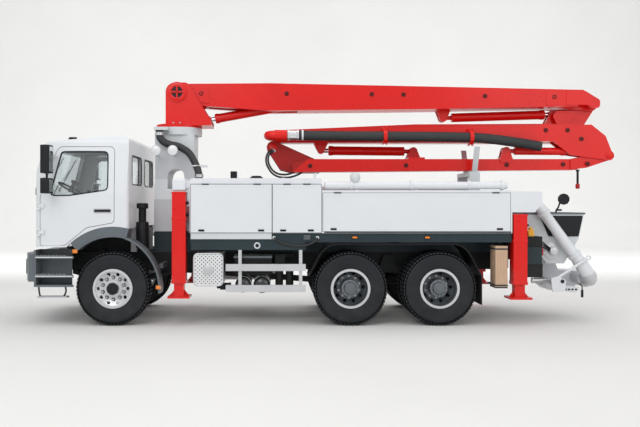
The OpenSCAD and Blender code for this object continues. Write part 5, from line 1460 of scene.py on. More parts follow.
@dataclass
class Interior:
    """Seats, dash, wheel and engine cover that stand for the cab's plain solids."""

    seat_x: float = -3.702
    seat_y: float = 0.62
    floor_z: float = 1.61
    wheel_at: Point = (-4.1, -0.62, 2.083)
    wheel_r: float = 0.21
    tilt: float = math.radians(30)

    def furnish(self, name: str, *parts: Object) -> None:
        """Fit a hard piece in place of the cab's plain solids."""
        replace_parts(Shop.fit(name, Coat.PLASTIC, *parts), "cab_interior")

    def cushion(self, low: Point, high: Point, crown: float, pinch: float) -> Object:
        """A sewn cushion: crowned faces, sides drawn in between the corners, and sunk seam channels.

        Args:
            low: Lowest corner.
            high: Highest corner.
            crown: How far its large faces swell.
            pinch: How far its sides are drawn in.

        Returns:
            The settled cushion.
        """
        Bench.clear()
        bpy.ops.mesh.primitive_cube_add(size=2.0)
        obj = bpy.context.active_object
        Bench.mode("EDIT")
        bpy.ops.mesh.subdivide(number_cuts=9)
        Bench.mode()
        size = [(b - a) / 2 for a, b in zip(low, high)]
        mid = [(a + b) / 2 for a, b in zip(low, high)]
        thin = size.index(min(size))
        wide = [i for i in range(3) if i != thin]
        for vertex in obj.data.vertices:
            u, v = (vertex.co[i] for i in wide)
            bow = (1 - u * u) * (1 - v * v)
            channel = 0.006 * math.exp(-((abs(v) - 0.55) / 0.05) ** 2) * (1 - u * u)
            t = vertex.co[thin]
            co = [0.0, 0.0, 0.0]
            co[thin] = t * (size[thin] - crown + crown * bow - channel)
            co[wide[0]] = u * (size[wide[0]] - pinch * (1 - v * v) * (1 - 0.5 * t * t))
            co[wide[1]] = v * (size[wide[1]] - pinch * (1 - u * u) * (1 - 0.5 * t * t))
            vertex.co = [m + c for m, c in zip(mid, co)]
        Bench.ease(obj, 0.018, 3, 50.0)
        soft = obj.modifiers.new("soft", "SUBSURF")
        soft.levels = soft.render_levels = 1
        Bench.pick(obj)
        bpy.ops.object.modifier_apply(modifier="soft")
        return Bench.settle(obj, 60.0)

    def seat(self, side: int) -> None:
        """Build one seat on its pedestal.

        Args:
            side: -1 for the driver's, 1 for the passenger's.
        """
        x, y, z, tag = self.seat_x, side * self.seat_y, self.floor_z, "driver" if side < 0 else "mate"
        base = Bench.block((x + 0.06, y - 0.18, z), (x + 0.4, y + 0.18, z + 0.225), 0.03, 3)
        bellow = Bench.block((x + 0.03, y - 0.2, z + 0.16), (x + 0.43, y + 0.2, z + 0.23), 0.02, 3)
        self.furnish(f"seat_base_{tag}", base, bellow)
        low = self.cushion((x - 0.04, y - 0.24, z + 0.232), (x + 0.42, y + 0.24, z + 0.375), 0.022, 0.012)
        back = self.cushion((x + 0.385, y - 0.235, z + 0.33), (x + 0.505, y + 0.235, z + 0.82), 0.02, 0.012)
        head = self.cushion((x + 0.4, y - 0.14, z + 0.8), (x + 0.5, y + 0.14, z + 0.95), 0.014, 0.01)
        upper = Bench.turn(Bench.joined(back, head), math.radians(7), "Y", (x + 0.44, y, z + 0.36))
        for name, part in ((f"seat_cushion_{tag}", low), (f"seat_back_{tag}.001", upper)):
            pad = Shop.fit(name, Coat.SEAT, part)
            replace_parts(pad, "cab_interior")

    def dash(self) -> None:
        """Build the dash with its hood and vents, and the engine cover with its lever."""
        x, z = -4.4, self.floor_z
        board = Bench.plate(((x, z), (x + 0.13, z), (x + 0.21, z + 0.24), (x + 0.2, z + 0.3),
            (x + 0.16, z + 0.328), (x, z + 0.328)), -1.078, 1.078, 0.012)
        hood = Bench.plate(((x + 0.08, z + 0.31), (x + 0.225, z + 0.29), (x + 0.2, z + 0.335),
            (x + 0.13, z + 0.352)), -0.86, -0.38, 0.01)
        vents = [Bench.block((x + 0.17, y - 0.07, z + 0.18), (x + 0.196, y + 0.07, z + 0.225), 0.006)
            for y in (-1.0, -0.24, 0.2, 0.9)]
        self.furnish("dash", board, hood, *vents)
        cover = Bench.block((-4.15, -0.28, z), (-3.262, 0.28, z + 0.178), 0.05, 4)
        Bench.inset(cover, lambda c, n: n.z > 0.9, (0.04, -0.012))
        lever = Bench.pipe([(-3.92, -0.2, z + 0.16), (-3.93, -0.22, z + 0.28), (-3.9, -0.25, z + 0.42)],
            0.012)
        knob = Bench.stepped((-3.9, -0.25, z + 0.4), Axis.HEIGHT,
            ((0.018, 0.0), (0.03, 0.02), (0.032, 0.045), (0.02, 0.062)), 16)
        self.furnish("engine_cover", cover, lever, knob)

    def wheel(self) -> None:
        """Build the steering wheel on its column."""
        cx, cy, cz = self.wheel_at
        rim = Bench.hoop((0, 0, 0), Axis.HEIGHT, self.wheel_r, 0.016)
        spokes = []
        for angle in (90, 210, 330):
            a = math.radians(angle)
            spokes.append(Bench.pipe([(0, 0, -0.02), (0.1 * math.cos(a), 0.1 * math.sin(a), -0.02),
                (self.wheel_r * math.cos(a), self.wheel_r * math.sin(a), 0.0)], 0.013))
        hub = Bench.stepped((0, 0, -0.05), Axis.HEIGHT, ((0.03, -0.14), (0.03, 0.0), (0.062, 0.015),
            (0.062, 0.045), (0.045, 0.055)), 24)
        obj = Bench.joined(rim, *spokes, hub)
        obj.rotation_euler = (0.0, self.tilt, 0.0)
        obj.location = (cx, cy, cz)
        self.furnish("steering_wheel", Bench.settle(obj, 50.0))

    def build(self) -> None:
        """Furnish the cab."""
        self.seat(-1)
        self.seat(1)
        self.dash()
        self.wheel()


@dataclass
class BoomTrim:
    """Pins, bolts, straps, pipe and the hanging rod of the folding boom."""

    hinge_a: tuple[float, float] = (-2.45, 3.68)
    hinge_b: tuple[float, float] = (4.42, 3.5)
    hinge_c: tuple[float, float] = (-0.878, 2.79)
    hinge_d: tuple[float, float] = (4.62, 2.64)
    side_1: float = -0.22
    side_3: float = -0.26
    side_3_end: float = -0.305
    side_4: float = -0.32
    cheek: Pairs = (
        (3.95, 3.48), (4.3, 3.48), (4.36, 3.432), (4.505, 3.425), (4.51, 3.56), (4.262, 3.712),
        (3.95, 3.716))
    bolts_1: Pairs = (
        (-2.064, 3.668), (-0.654, 3.665), (0.747, 3.655), (1.271, 3.65), (2.615, 3.625), (3.758, 3.61))
    bolts_3: Pairs = (
        (-0.27, 2.475), (1.306, 2.482), (2.958, 2.49), (3.884, 2.498))
    bolt_3_end: tuple[float, float] = (4.27, 2.505)
    link: Pairs = (
        (3.79, 3.33), (3.86, 3.405), (4.23, 3.408), (4.13, 3.3), (4.01, 3.13), (3.88, 3.12))
    bolts_4: Pairs = ((3.579, 3.053), (3.936, 3.053), (4.162, 2.91))
    straps: Pairs = ((0.938, 2.945), (2.335, 2.925))
    hose_y: float = -0.41

    def pin_cap(self, at: tuple[float, float], y: float, radius: float, bolts: int) -> Object:
        """A pin's retaining cap with a ring of bolts, on the truck's left.

        Args:
            at: Place in length and height.
            y: Face that it sits on.
            radius: Radius of the cap.
            bolts: Number of bolts.

        Returns:
            The settled cap.
        """
        x, z = at
        cap = Bench.stepped((x, y, z), Axis.WIDTH, ((radius, -0.002), (radius, 0.01), (radius - 0.006, 0.014),
            (radius * 0.45, 0.014), (radius * 0.4, 0.02), (radius * 0.3, 0.022)), 32)
        bolt = Bench.stepped((x + radius * 0.72, y, z), Axis.WIDTH,
            ((0.011, 0.012), (0.011, 0.022), (0.007, 0.024)), 6)
        return Bench.joined(cap, *Bench.ring(bolt, bolts, "Y", (x, y, z)))

    def pins(self) -> None:
        """Cap the four hinges and the turret's boom pin."""
        for name, at, y, r, n, body in (
            ("pin_cap_b", self.hinge_b, -0.085, 0.062, 6, "boom_1"),
            ("pin_cap_c", self.hinge_c, -0.085, 0.066, 6, "boom_3"),
            ("pin_cap_d", self.hinge_d, -0.32, 0.056, 6, "boom_4"),
        ):
            Shop.fit(name, Coat.RED, self.pin_cap(at, y, r, n), body=body)
        x, z = self.hinge_a
        ring = Bench.stepped((x, -0.315, z), Axis.WIDTH, ((0.15, -0.001), (0.15, 0.008), (0.138, 0.012),
            (0.112, 0.012), (0.108, 0.004), (0.082, 0.003)), 40)
        bars = [Bench.block((x - 0.112, -0.335, z - 0.013), (x + 0.112, -0.317, z + 0.013), 0.004)]
        bars.append(Bench.turn(Bench.twin(bars[0]), math.pi / 2, "Y", (x, 0.0, z)))
        Shop.fit("turret_cover", Coat.RED, ring, *bars, body="turret")
        well = Bench.stepped((x, -0.3165, z), Axis.WIDTH,
            ((0.109, 0.0), (0.109, 0.0025), (0.09, 0.003), (0.064, 0.003)), 40)
        Shop.fit("turret_well", Coat.BLACK, well, body="turret")
        foot = Bench.stepped((x + 0.345, 0.0, 3.158), Axis.HEIGHT, ((0.02, 0.0), (0.02, 0.004),
            (0.016, 0.004), (0.016, 0.022), (0.01, 0.026)), 6)
        turns = [2 * math.pi * (i + 0.5) / 20 for i in range(20)]
        ring = [Bench.turn(Bench.twin(foot), turn, "Z", (x, 0.0, 0.0)) for turn in turns
            if abs(math.sin(turn)) > 0.93]
        bpy.data.objects.remove(foot)
        Shop.fit("slew_bolts", Coat.STEEL, *ring, body="turret")

    def bolts(self) -> None:
        """Set the dark plugs in the sides of the first, third and fourth sections."""
        for body, side, places in (
            ("boom_1", self.side_1, self.bolts_1), ("boom_3", self.side_3, self.bolts_3),
            ("boom_4", self.side_4, self.bolts_4),
        ):
            where = [(x, side, z) for x, z in places]
            if body == "boom_3":
                where.append((self.bolt_3_end[0], self.side_3_end, self.bolt_3_end[1]))
            plugs = [Bench.stepped(at, Axis.WIDTH, ((0.036, -0.002), (0.036, 0.009), (0.029, 0.012),
                (0.02, 0.012), (0.017, 0.005)), 20) for at in where]
            Shop.fit(f"plugs_{body}", Coat.PLUG_RED, *plugs, body=body)

    def doublers(self) -> None:
        """Weld the doubler plates and bands to the first section."""
        root = Bench.plate(Bench.rounded(((-2.4, 3.56), (-1.92, 3.5), (-1.92, 3.82), (-2.4, 3.815)),
            (0.05, 0.02, 0.02, 0.05)), -0.228, -0.219)
        tail = Bench.plate(Bench.rounded(((3.62, 3.47), (4.1, 3.47), (4.19, 3.7), (3.62, 3.715)),
            (0.04, 0.05, 0.05, 0.04)), -0.228, -0.219)
        bands = [Bench.block((-2.02, -0.2325, 3.51), (-1.95, -0.226, 3.795), 0.002),
            Bench.block((1.885, -0.2235, 3.435), (1.912, -0.218, 3.74), 0.002)]
        twins = [Bench.mirrored(plate) for plate in (root, tail, *bands)]
        Shop.fit("boom_doublers", Coat.RED, root, tail, *bands, *twins, body="boom_1")
        cheek = Bench.plate(Bench.rounded(self.cheek, (0.01, 0.05, 0.02, 0.06, 0.06, 0.02, 0.01)), -0.236,
            -0.2278)
        Shop.fit("boom_cheek", Coat.RED, cheek, body="boom_1")
        link = Bench.plate(Bench.rounded(self.link, (0.04, 0.04, 0.02, 0.1, 0.02, 0.02)), -0.058, -0.046)
        Shop.fit("boom_link", Coat.RED, link, body="boom_2")

    def hose_straps(self) -> None:
        """Hang the tall hose brackets on the fourth section."""
        parts = []
        for x, z in self.straps:
            for dx in (-0.034, 0.028):
                parts.append(Bench.plate(Bench.rounded(((x + dx, z - 0.135), (x + dx + 0.01, z - 0.135),
                    (x + dx + 0.01, z + 0.15), (x + dx, z + 0.15)), (0.002,) * 4, 2), self.hose_y - 0.012,
                    -0.32))
            top = Bench.block((x - 0.036, self.hose_y - 0.014, z + 0.1), (x + 0.04, -0.318, z + 0.112), 0.003)
            low = Bench.block((x - 0.036, self.hose_y - 0.014, z - 0.114), (x + 0.04, -0.318, z - 0.102),
                0.003)
            bolt = Bench.stepped((x, self.hose_y, z + 0.112), Axis.HEIGHT,
                ((0.012, 0.0), (0.012, 0.02), (0.008, 0.024)), 6)
            parts += [top, low, bolt]
        Shop.fit("hose_straps", Coat.RED, *parts, body="boom_4")

    def hanging_rod(self) -> None:
        """Hang the short rod with its cap under the third section's end."""
        rod = Bench.stepped((4.145, -0.21, 2.113), Axis.HEIGHT,
            ((0.018, 0.0), (0.018, 0.27), (0.028, 0.272), (0.028, 0.3)), 16)
        Shop.fit("hanging_rod", Coat.BLACK, rod, body="boom_3")
        # The cap takes the boom red darkened as painted shade.
        cap = Bench.stepped((4.145, -0.21, 2.098), Axis.HEIGHT, ((0.026, 0.0), (0.034, 0.008), (0.034, 0.07),
            (0.026, 0.082), (0.02, 0.084)), 20)
        Shop.fit("hanging_cap", Coat.DARK_RED, cap, body="boom_3")

    def pipes(self) -> None:
        """Run the concrete pipe along the far side of the first section."""
        y, r = 0.318, 0.062
        route = ((-2.1, 3.62), (-1.2, 3.6), (0.6, 3.62), (2.4, 3.6), (4.05, 3.575))
        parts = [Bench.pipe([(x, y, z) for x, z in route], r, 6)]
        for x, z in route:
            parts.append(Bench.stepped((x - 0.03, y, z), Axis.LENGTH,
                ((r, 0.0), (r + 0.014, 0.004), (r + 0.014, 0.056), (r, 0.06)), 24))
        for x, z in route[1:4]:
            parts.append(Bench.block((x - 0.02, 0.215, z - 0.03), (x + 0.02, y, z + 0.03), 0.004))
        Shop.fit("line_1", Coat.RED, *parts, body="boom_1")

    def build(self) -> None:
        """Make all the boom's trim."""
        self.pins()
        self.bolts()
        self.doublers()
        self.hose_straps()
        self.hanging_rod()
        self.pipes()


@dataclass
class BodyTrim:
    """Lids, latches, pipes and fittings of the white pump body."""

    face_y: float = -1.24
    lids: tuple[tuple[float, float, float, float], ...] = (
        (-2.118, -0.893, 1.412, 2.14), (-0.881, -0.142, 1.412, 2.14), (-0.118, 2.715, 1.432, 2.01))
    rail_y: float = -1.12
    rail_z: float = 2.128

    def doors(self) -> None:
        """Hang the lids with their dark gaps, hinges and latches."""
        y, lids, gaps, irons = self.face_y, [], [], []
        for x0, x1, z0, z1 in self.lids:
            lids.append(Bench.panel((x0, y - 0.006, z0), (x1, y + 0.002, z1), 0.035, -0.003, 0.003))
            gaps.append(Bench.block((x0 - 0.006, y - 0.0008, z0 - 0.006), (x1 + 0.006, y + 0.004, z1 + 0.006),
                0.0005, 1))
            for x in (x0 + 0.16, x1 - 0.16):
                irons.append(Bench.panel((x - 0.045, y - 0.014, z0 + 0.018),
                    (x + 0.045, y - 0.002, z0 + 0.048), 0.006, -0.005))
            for x in (x0 + 0.22, x1 - 0.22):
                irons.append(Bench.drum((x, y - 0.008, z1 + 0.004), 0.009, 0.11, Axis.LENGTH))
        Shop.pair("body_lids", Coat.WHITE, *lids)
        Shop.pair("lid_gaps", Coat.BLACK, *gaps)
        Shop.pair("lid_irons", Coat.PLASTIC, *irons)
        # A kick strip under the front lid, painted light grey as the white body's lower edge in shade.
        shaded_kick = Bench.panel((-2.12, -1.236, 1.312), (-0.895, -1.208, 1.402), 0.016, -0.003)
        Shop.pair("kick_strip", Coat.LIGHT_GREY, shaded_kick)
        foot = Bench.block((-0.1, -1.244, 1.408), (2.73, -1.232, 1.424), 0.003)
        Shop.pair("foot_strip", Coat.PLASTIC, foot)

    def top(self) -> None:
        """Lay the fat pipe on the rear body and set the fittings on the front one."""
        y, z = self.rail_y, self.rail_z
        parts = [Bench.stepped((-0.09, y, z), Axis.LENGTH,
            ((0.05, 0.0), (0.058, 0.008), (0.058, 2.78), (0.05, 2.79)), 28)]
        for x in (0.3, 1.22, 2.1, 2.6):
            parts.append(Bench.stepped((x, y, z), Axis.LENGTH,
                ((0.058, 0.0), (0.074, 0.003), (0.074, 0.036), (0.058, 0.039)), 28))
        Shop.pair("top_pipe", Coat.WHITE, *parts)
        ball = Bench.stepped((0.38, y, z + 0.05), Axis.HEIGHT, ((0.045, 0.0), (0.06, 0.015), (0.078, 0.05),
            (0.08, 0.08), (0.07, 0.115), (0.045, 0.138), (0.02, 0.146)), 28)
        Shop.fit("pressure_ball", Coat.LIGHT_GREY, ball)
        box = Bench.panel((-1.525, -1.12, 2.23), (-1.428, -1.01, 2.345), 0.012, -0.006)
        Shop.fit("control_box", Coat.PLASTIC, box)
        lid = Bench.stepped((-1.13, -1.06, 2.233), Axis.HEIGHT, ((0.105, 0.0), (0.105, 0.016), (0.092, 0.022),
            (0.08, 0.024), (0.078, 0.04), (0.05, 0.046)), 32)
        Shop.fit("filler_lid", Coat.PLASTIC, lid)
        vent = Bench.stepped((-0.238, -1.15, 2.23), Axis.HEIGHT, ((0.026, 0.0), (0.026, 0.008), (0.016, 0.01),
            (0.016, 0.06), (0.022, 0.064), (0.022, 0.084)), 16)
        Shop.fit("roof_vent", Coat.WHITE, vent)
        ribs = [Bench.block((x, -1.2, 2.226), (x + 0.05, -0.74, 2.243), 0.006) for x in (-1.85, -0.75, -0.4)]
        Shop.pair("roof_ribs", Coat.WHITE, *ribs)

    def skirt(self) -> None:
        """Fit the skirt's filler port."""
        port = Bench.stepped((-1.114, -1.209, 1.215), Axis.WIDTH, ((0.05, -0.002), (0.05, 0.01),
            (0.044, 0.016), (0.03, 0.016), (0.026, 0.004), (0.024, 0.003)), 32)
        Shop.fit("filler_port", Coat.LIGHT_GREY, port)
        bore = Bench.stepped((-1.114, -1.212, 1.215), Axis.WIDTH,
            ((0.027, 0.0), (0.027, 0.01), (0.02, 0.012)), 24)
        Shop.fit("filler_bore", Coat.PLASTIC, bore)

    def build(self) -> None:
        """Make all the body's trim."""
        self.doors()
        self.top()
        self.skirt()


@dataclass
class OutriggerTrim:
    """Collars, feet and valves of the four legs, and the caps above the front ones."""

    casing_y: float = 1.246
    leg_w: float = 0.206
    stations: tuple[tuple[str, float, float, float, float], ...] = (
        ("front", -2.3, 0.64, 2.03, 0.42), ("rear", 2.868, 0.62, 1.69, 0.402))

    def build(self) -> None:
        """Dress each leg and its casing."""
        for place, x, z0, z1, foot in self.stations:
            mid = -self.casing_y + self.leg_w / 2
            half = self.leg_w / 2
            rings = []
            for z, h in ((z0, 0.05), (z1 - 0.42, 0.035), (z1 - 0.03, 0.03)):
                rings.append(Bench.block((x - half - 0.008, mid - half - 0.003, z),
                    (x + half + 0.008, mid + half + 0.002, z + h), 0.004))
            cap = Bench.block((x - 0.07, mid - 0.07, z1 - 0.002), (x + 0.07, mid + 0.07, z1 + 0.004), 0.002)
            valves = [Bench.stepped((x + half, mid - 0.03, z), Axis.LENGTH,
                ((0.028, -0.001), (0.028, 0.02), (0.018, 0.024), (0.018, 0.04)), 12)
                for z in (z1 - 0.17, z1 - 0.35, z1 - 0.62)]
            ribs = []
            for dx, dy in ((1, 0), (-1, 0), (0, 1)):
                rib = Bench.plate(((x + 0.075, foot + 0.029), (x + 0.15, foot + 0.029),
                    (x + 0.075, foot + 0.125)), mid - 0.008, mid + 0.008)
                ribs.append(Bench.turn(rib, math.atan2(dy, dx), "Z", (x, mid, 0.0)))
            pad = Bench.block((x - 0.1, mid - 0.1, foot + 0.028), (x + 0.1, mid + 0.1, foot + 0.042), 0.004)
            for name, coat, body, parts in (
                ("casing", Coat.RED, "arm", (*rings, cap)),
                ("valves", Coat.PLASTIC, "arm", valves),
                ("foot_ribs", Coat.RED, "leg", (*ribs, pad)),
            ):
                Shop.pair(f"{name}_{place}", coat, *parts, body=f"{body}_{place}_left")
        self.front_caps()

    def front_caps(self) -> None:
        """Set the white caps above the front legs, on brackets from the body."""
        cap = Bench.block((-2.405, -1.238, 2.045), (-2.195, -1.04, 2.232), 0.03, 4)
        arm = Bench.block((-2.2, -1.2, 2.085), (-2.128, -1.08, 2.2), 0.01)
        Shop.pair("leg_cap", Coat.WHITE, cap, arm)


@dataclass
class ChassisTrim:
    """Silencer, tanks, boxes behind the side guard, lockers and the fittings behind the cab."""

    tanks: Pairs = ((-1.333, 0.121), (-1.046, 0.128))
    tank_z: float = 0.608
    markers: tuple[float, ...] = (-1.95, 0.33, 1.43)
    locker_x: tuple[float, float] = (2.981, 3.276)

    def silencer(self) -> None:
        """Face the silencer with its pierced plate and give the tail pipe its lip."""
        outline = Bench.rounded(((-2.072, 0.612), (-1.634, 0.612), (-1.634, 1.092), (-2.072, 1.092)),
            (0.072,) * 4, 7)
        plate = Bench.plate(outline, -1.241, -1.229, 0.003)
        Shop.fit("silencer_plate", Coat.PLATE, plate)
        rim = Bench.pipe([(x, -1.24, z) for x, z in outline], 0.011, 3, closed=True)
        boss = Bench.stepped((-1.853, -1.24, 0.852), Axis.WIDTH, ((0.082, -0.001), (0.082, 0.005),
            (0.074, 0.009), (0.06, 0.009), (0.052, 0.012), (0.02, 0.014)), 36)
        Shop.fit("silencer_rim", Coat.SILVER, rim, boss)
        lip = Bench.stepped((-1.556, -0.9, 0.565), Axis.LENGTH, ((0.055, 0.0), (0.061, 0.003), (0.061, 0.022),
            (0.048, 0.026), (0.046, 0.012)), 28)
        Shop.fit("tail_lip", Coat.BLACK, lip)

    def tank_ends(self) -> None:
        """Dome the air tanks, strap them, and strap and cap the fuel tank."""
        domes, bands = [], []
        for x, r in self.tanks:
            domes.append(Bench.stepped((x, -1.068, self.tank_z), Axis.WIDTH, ((r, -0.002), (r - 0.002, 0.018),
                (r - 0.016, 0.044), (r - 0.042, 0.064), (r - 0.078, 0.076), (0.016, 0.08)), 36))
            bands += [Bench.stepped((x, y, self.tank_z), Axis.WIDTH,
                ((r, 0.0), (r + 0.004, 0.001), (r + 0.004, 0.031), (r, 0.032)), 36) for y in (-1.0, -0.64)]
        Shop.fit("air_tank_domes", Coat.GLOSS_BLACK, *domes)
        Shop.fit("air_tank_bands", Coat.STEEL, *bands)
        straps = []
        for x in (-1.83, -0.93):
            outline = Bench.rounded(((0.478, 0.513), (1.217, 0.513), (1.217, 1.097), (0.478, 1.097)),
                (0.114,) * 4, 6)
            straps.append(Bench.pipe([(x, y, z) for y, z in outline], 0.008, 3, closed=True))
            straps.append(Bench.pipe([(x + 0.03, y, z) for y, z in outline], 0.008, 3, closed=True))
        cap = Bench.stepped((-0.86, 1.02, 1.086), Axis.HEIGHT, ((0.062, 0.0), (0.062, 0.012), (0.052, 0.014),
            (0.052, 0.04), (0.044, 0.048), (0.02, 0.05)), 28)
        Shop.fit("fuel_straps", Coat.BLACK, *straps)
        Shop.fit("fuel_cap", Coat.PLASTIC, cap)

    def boxes(self) -> None:
        """Set the battery box with its lid painted lighter as a highlight, the filters and the valve block
        behind the side guard.
        """
        box = Bench.panel((-1.465, -1.12, 0.765), (-0.9, -0.62, 1.02), 0.03, -0.008)
        small = Bench.panel((-0.842, -1.1, 0.936), (-0.69, -0.7, 1.045), 0.015, -0.006)
        drums = [Bench.stepped((x, -1.02, 0.58), Axis.HEIGHT, ((0.03, 0.0), (0.055, 0.01), (0.06, 0.03),
            (0.06, 0.25), (0.068, 0.255), (0.068, 0.3), (0.04, 0.31)), 24) for x in (-0.78, -0.62)]
        beam = Bench.block((-1.5, -0.8, 1.01), (-0.55, -0.46, 1.05), 0.006)
        Shop.fit("chassis_boxes", Coat.BLACK, box, small, *drums, beam)
        # The lid is a lighter grey than the black box: a painted highlight along the box's top.
        highlight_tray = Bench.panel((-1.475, -1.13, 1.018), (-0.89, -0.61, 1.05), 0.008, -0.003)
        Shop.fit("battery_lid", Coat.GREY, highlight_tray)
        valve = Bench.block((-0.41, -1.228, 1.305), (-0.31, -1.208, 1.375), 0.005)
        nuts = [Bench.stepped((-0.39 + 0.03 * i, -1.226, 1.355 - 0.03 * (i % 2)), Axis.WIDTH,
            ((0.016, 0.0), (0.016, 0.014), (0.01, 0.016), (0.01, 0.04)), 6) for i in range(3)]
        Shop.fit("valve_block", Coat.GREY, valve, *nuts)

    def lockers(self) -> None:
        """Band the rear lockers, frame their lamps and set the marker bezels."""
        x0, x1 = self.locker_x
        drawers = [Bench.panel((x0 + 0.004, -1.006, z0), (x1 + out, -0.702, z1), 0.014, -0.004) for z0, z1,
            out in ((1.178, 1.342, 0.006), (0.713, 0.915, 0.01))]
        bezel = Bench.block((x1 - 0.002, -0.99, 1.04), (x1 + 0.012, -0.73, 1.18), 0.004)
        marks = [Bench.block((x - 0.016, -1.217, 1.312), (x + 0.086, -1.208, 1.364), 0.003)
            for x in self.markers]
        Shop.pair("drawers", Coat.PLASTIC, *drawers, bezel, *marks)
        valve = Bench.block((3.07, -0.985, 1.338), (3.165, -0.9, 1.44), 0.012, 3)
        knob = Bench.stepped((3.118, -0.943, 1.438), Axis.HEIGHT,
            ((0.03, 0.0), (0.034, 0.006), (0.034, 0.036), (0.026, 0.046)), 20)
        Shop.fit("yellow_valve", Coat.YELLOW, valve, knob)
        straps = [Bench.block((2.491, -1.224, z), (2.684, -0.8, z + 0.024), 0.003) for z in (0.6, 1.15)]
        Shop.pair("timber_straps", Coat.SEAT, *straps)

    def behind_cab(self) -> None:
        """Stand the air filter behind the cab and hang the lamps on the pedestal."""
        stack = Bench.stepped((-2.935, -0.76, 1.15), Axis.HEIGHT, ((0.06, 0.0), (0.098, 0.006), (0.1, 0.02),
            (0.1, 0.4), (0.094, 0.412), (0.06, 0.42), (0.06, 0.62), (0.092, 0.63), (0.092, 0.7),
            (0.07, 0.712)), 32)
        ribs = [Bench.hoop((-2.935, -0.76, z), Axis.HEIGHT, 0.1, 0.006, 32) for z in (1.24, 1.34, 1.44)]
        Shop.fit("air_filter", Coat.PLASTIC, stack, *ribs)
        shells, lenses, stays = [], [], []
        for x, y in ((-2.745, -0.56), (-2.47, -0.61)):
            shells.append(Bench.stepped((x, y, 2.7), Axis.WIDTH, ((0.03, 0.0), (0.062, 0.02), (0.078, 0.05),
                (0.08, 0.08), (0.074, 0.084), (0.07, 0.078)), 32))
            lenses.append(Bench.stepped((x, y - 0.074, 2.7), Axis.WIDTH,
                ((0.071, 0.0), (0.068, 0.005), (0.05, 0.012), (0.02, 0.015)), 32))
            stays.append(Bench.pipe([(x, -0.3, 2.63), (x, y + 0.03, 2.63), (x, y - 0.02, 2.65),
                (x, y - 0.03, 2.69)], 0.012))
        Shop.fit("work_lamps", Coat.WHITE, *shells, *stays)
        Shop.fit("work_lenses", Coat.LENS, *lenses)
        ring = Bench.hoop((-2.1, -0.637, 2.45), Axis.HEIGHT, 0.07, 0.012, 32)
        bar = Bench.pipe([(-2.175, -0.29, 2.45), (-2.145, -0.45, 2.45), (-2.1, -0.575, 2.45)], 0.014)
        arm = Bench.block((-2.04, -0.69, 2.43), (-1.915, -0.64, 2.47), 0.006)
        Shop.fit("hose_bracket", Coat.WHITE, ring, bar, arm)

    def build(self) -> None:
        """Make all the chassis trim."""
        self.silencer()
        self.tank_ends()
        self.boxes()
        self.lockers()
        self.behind_cab()


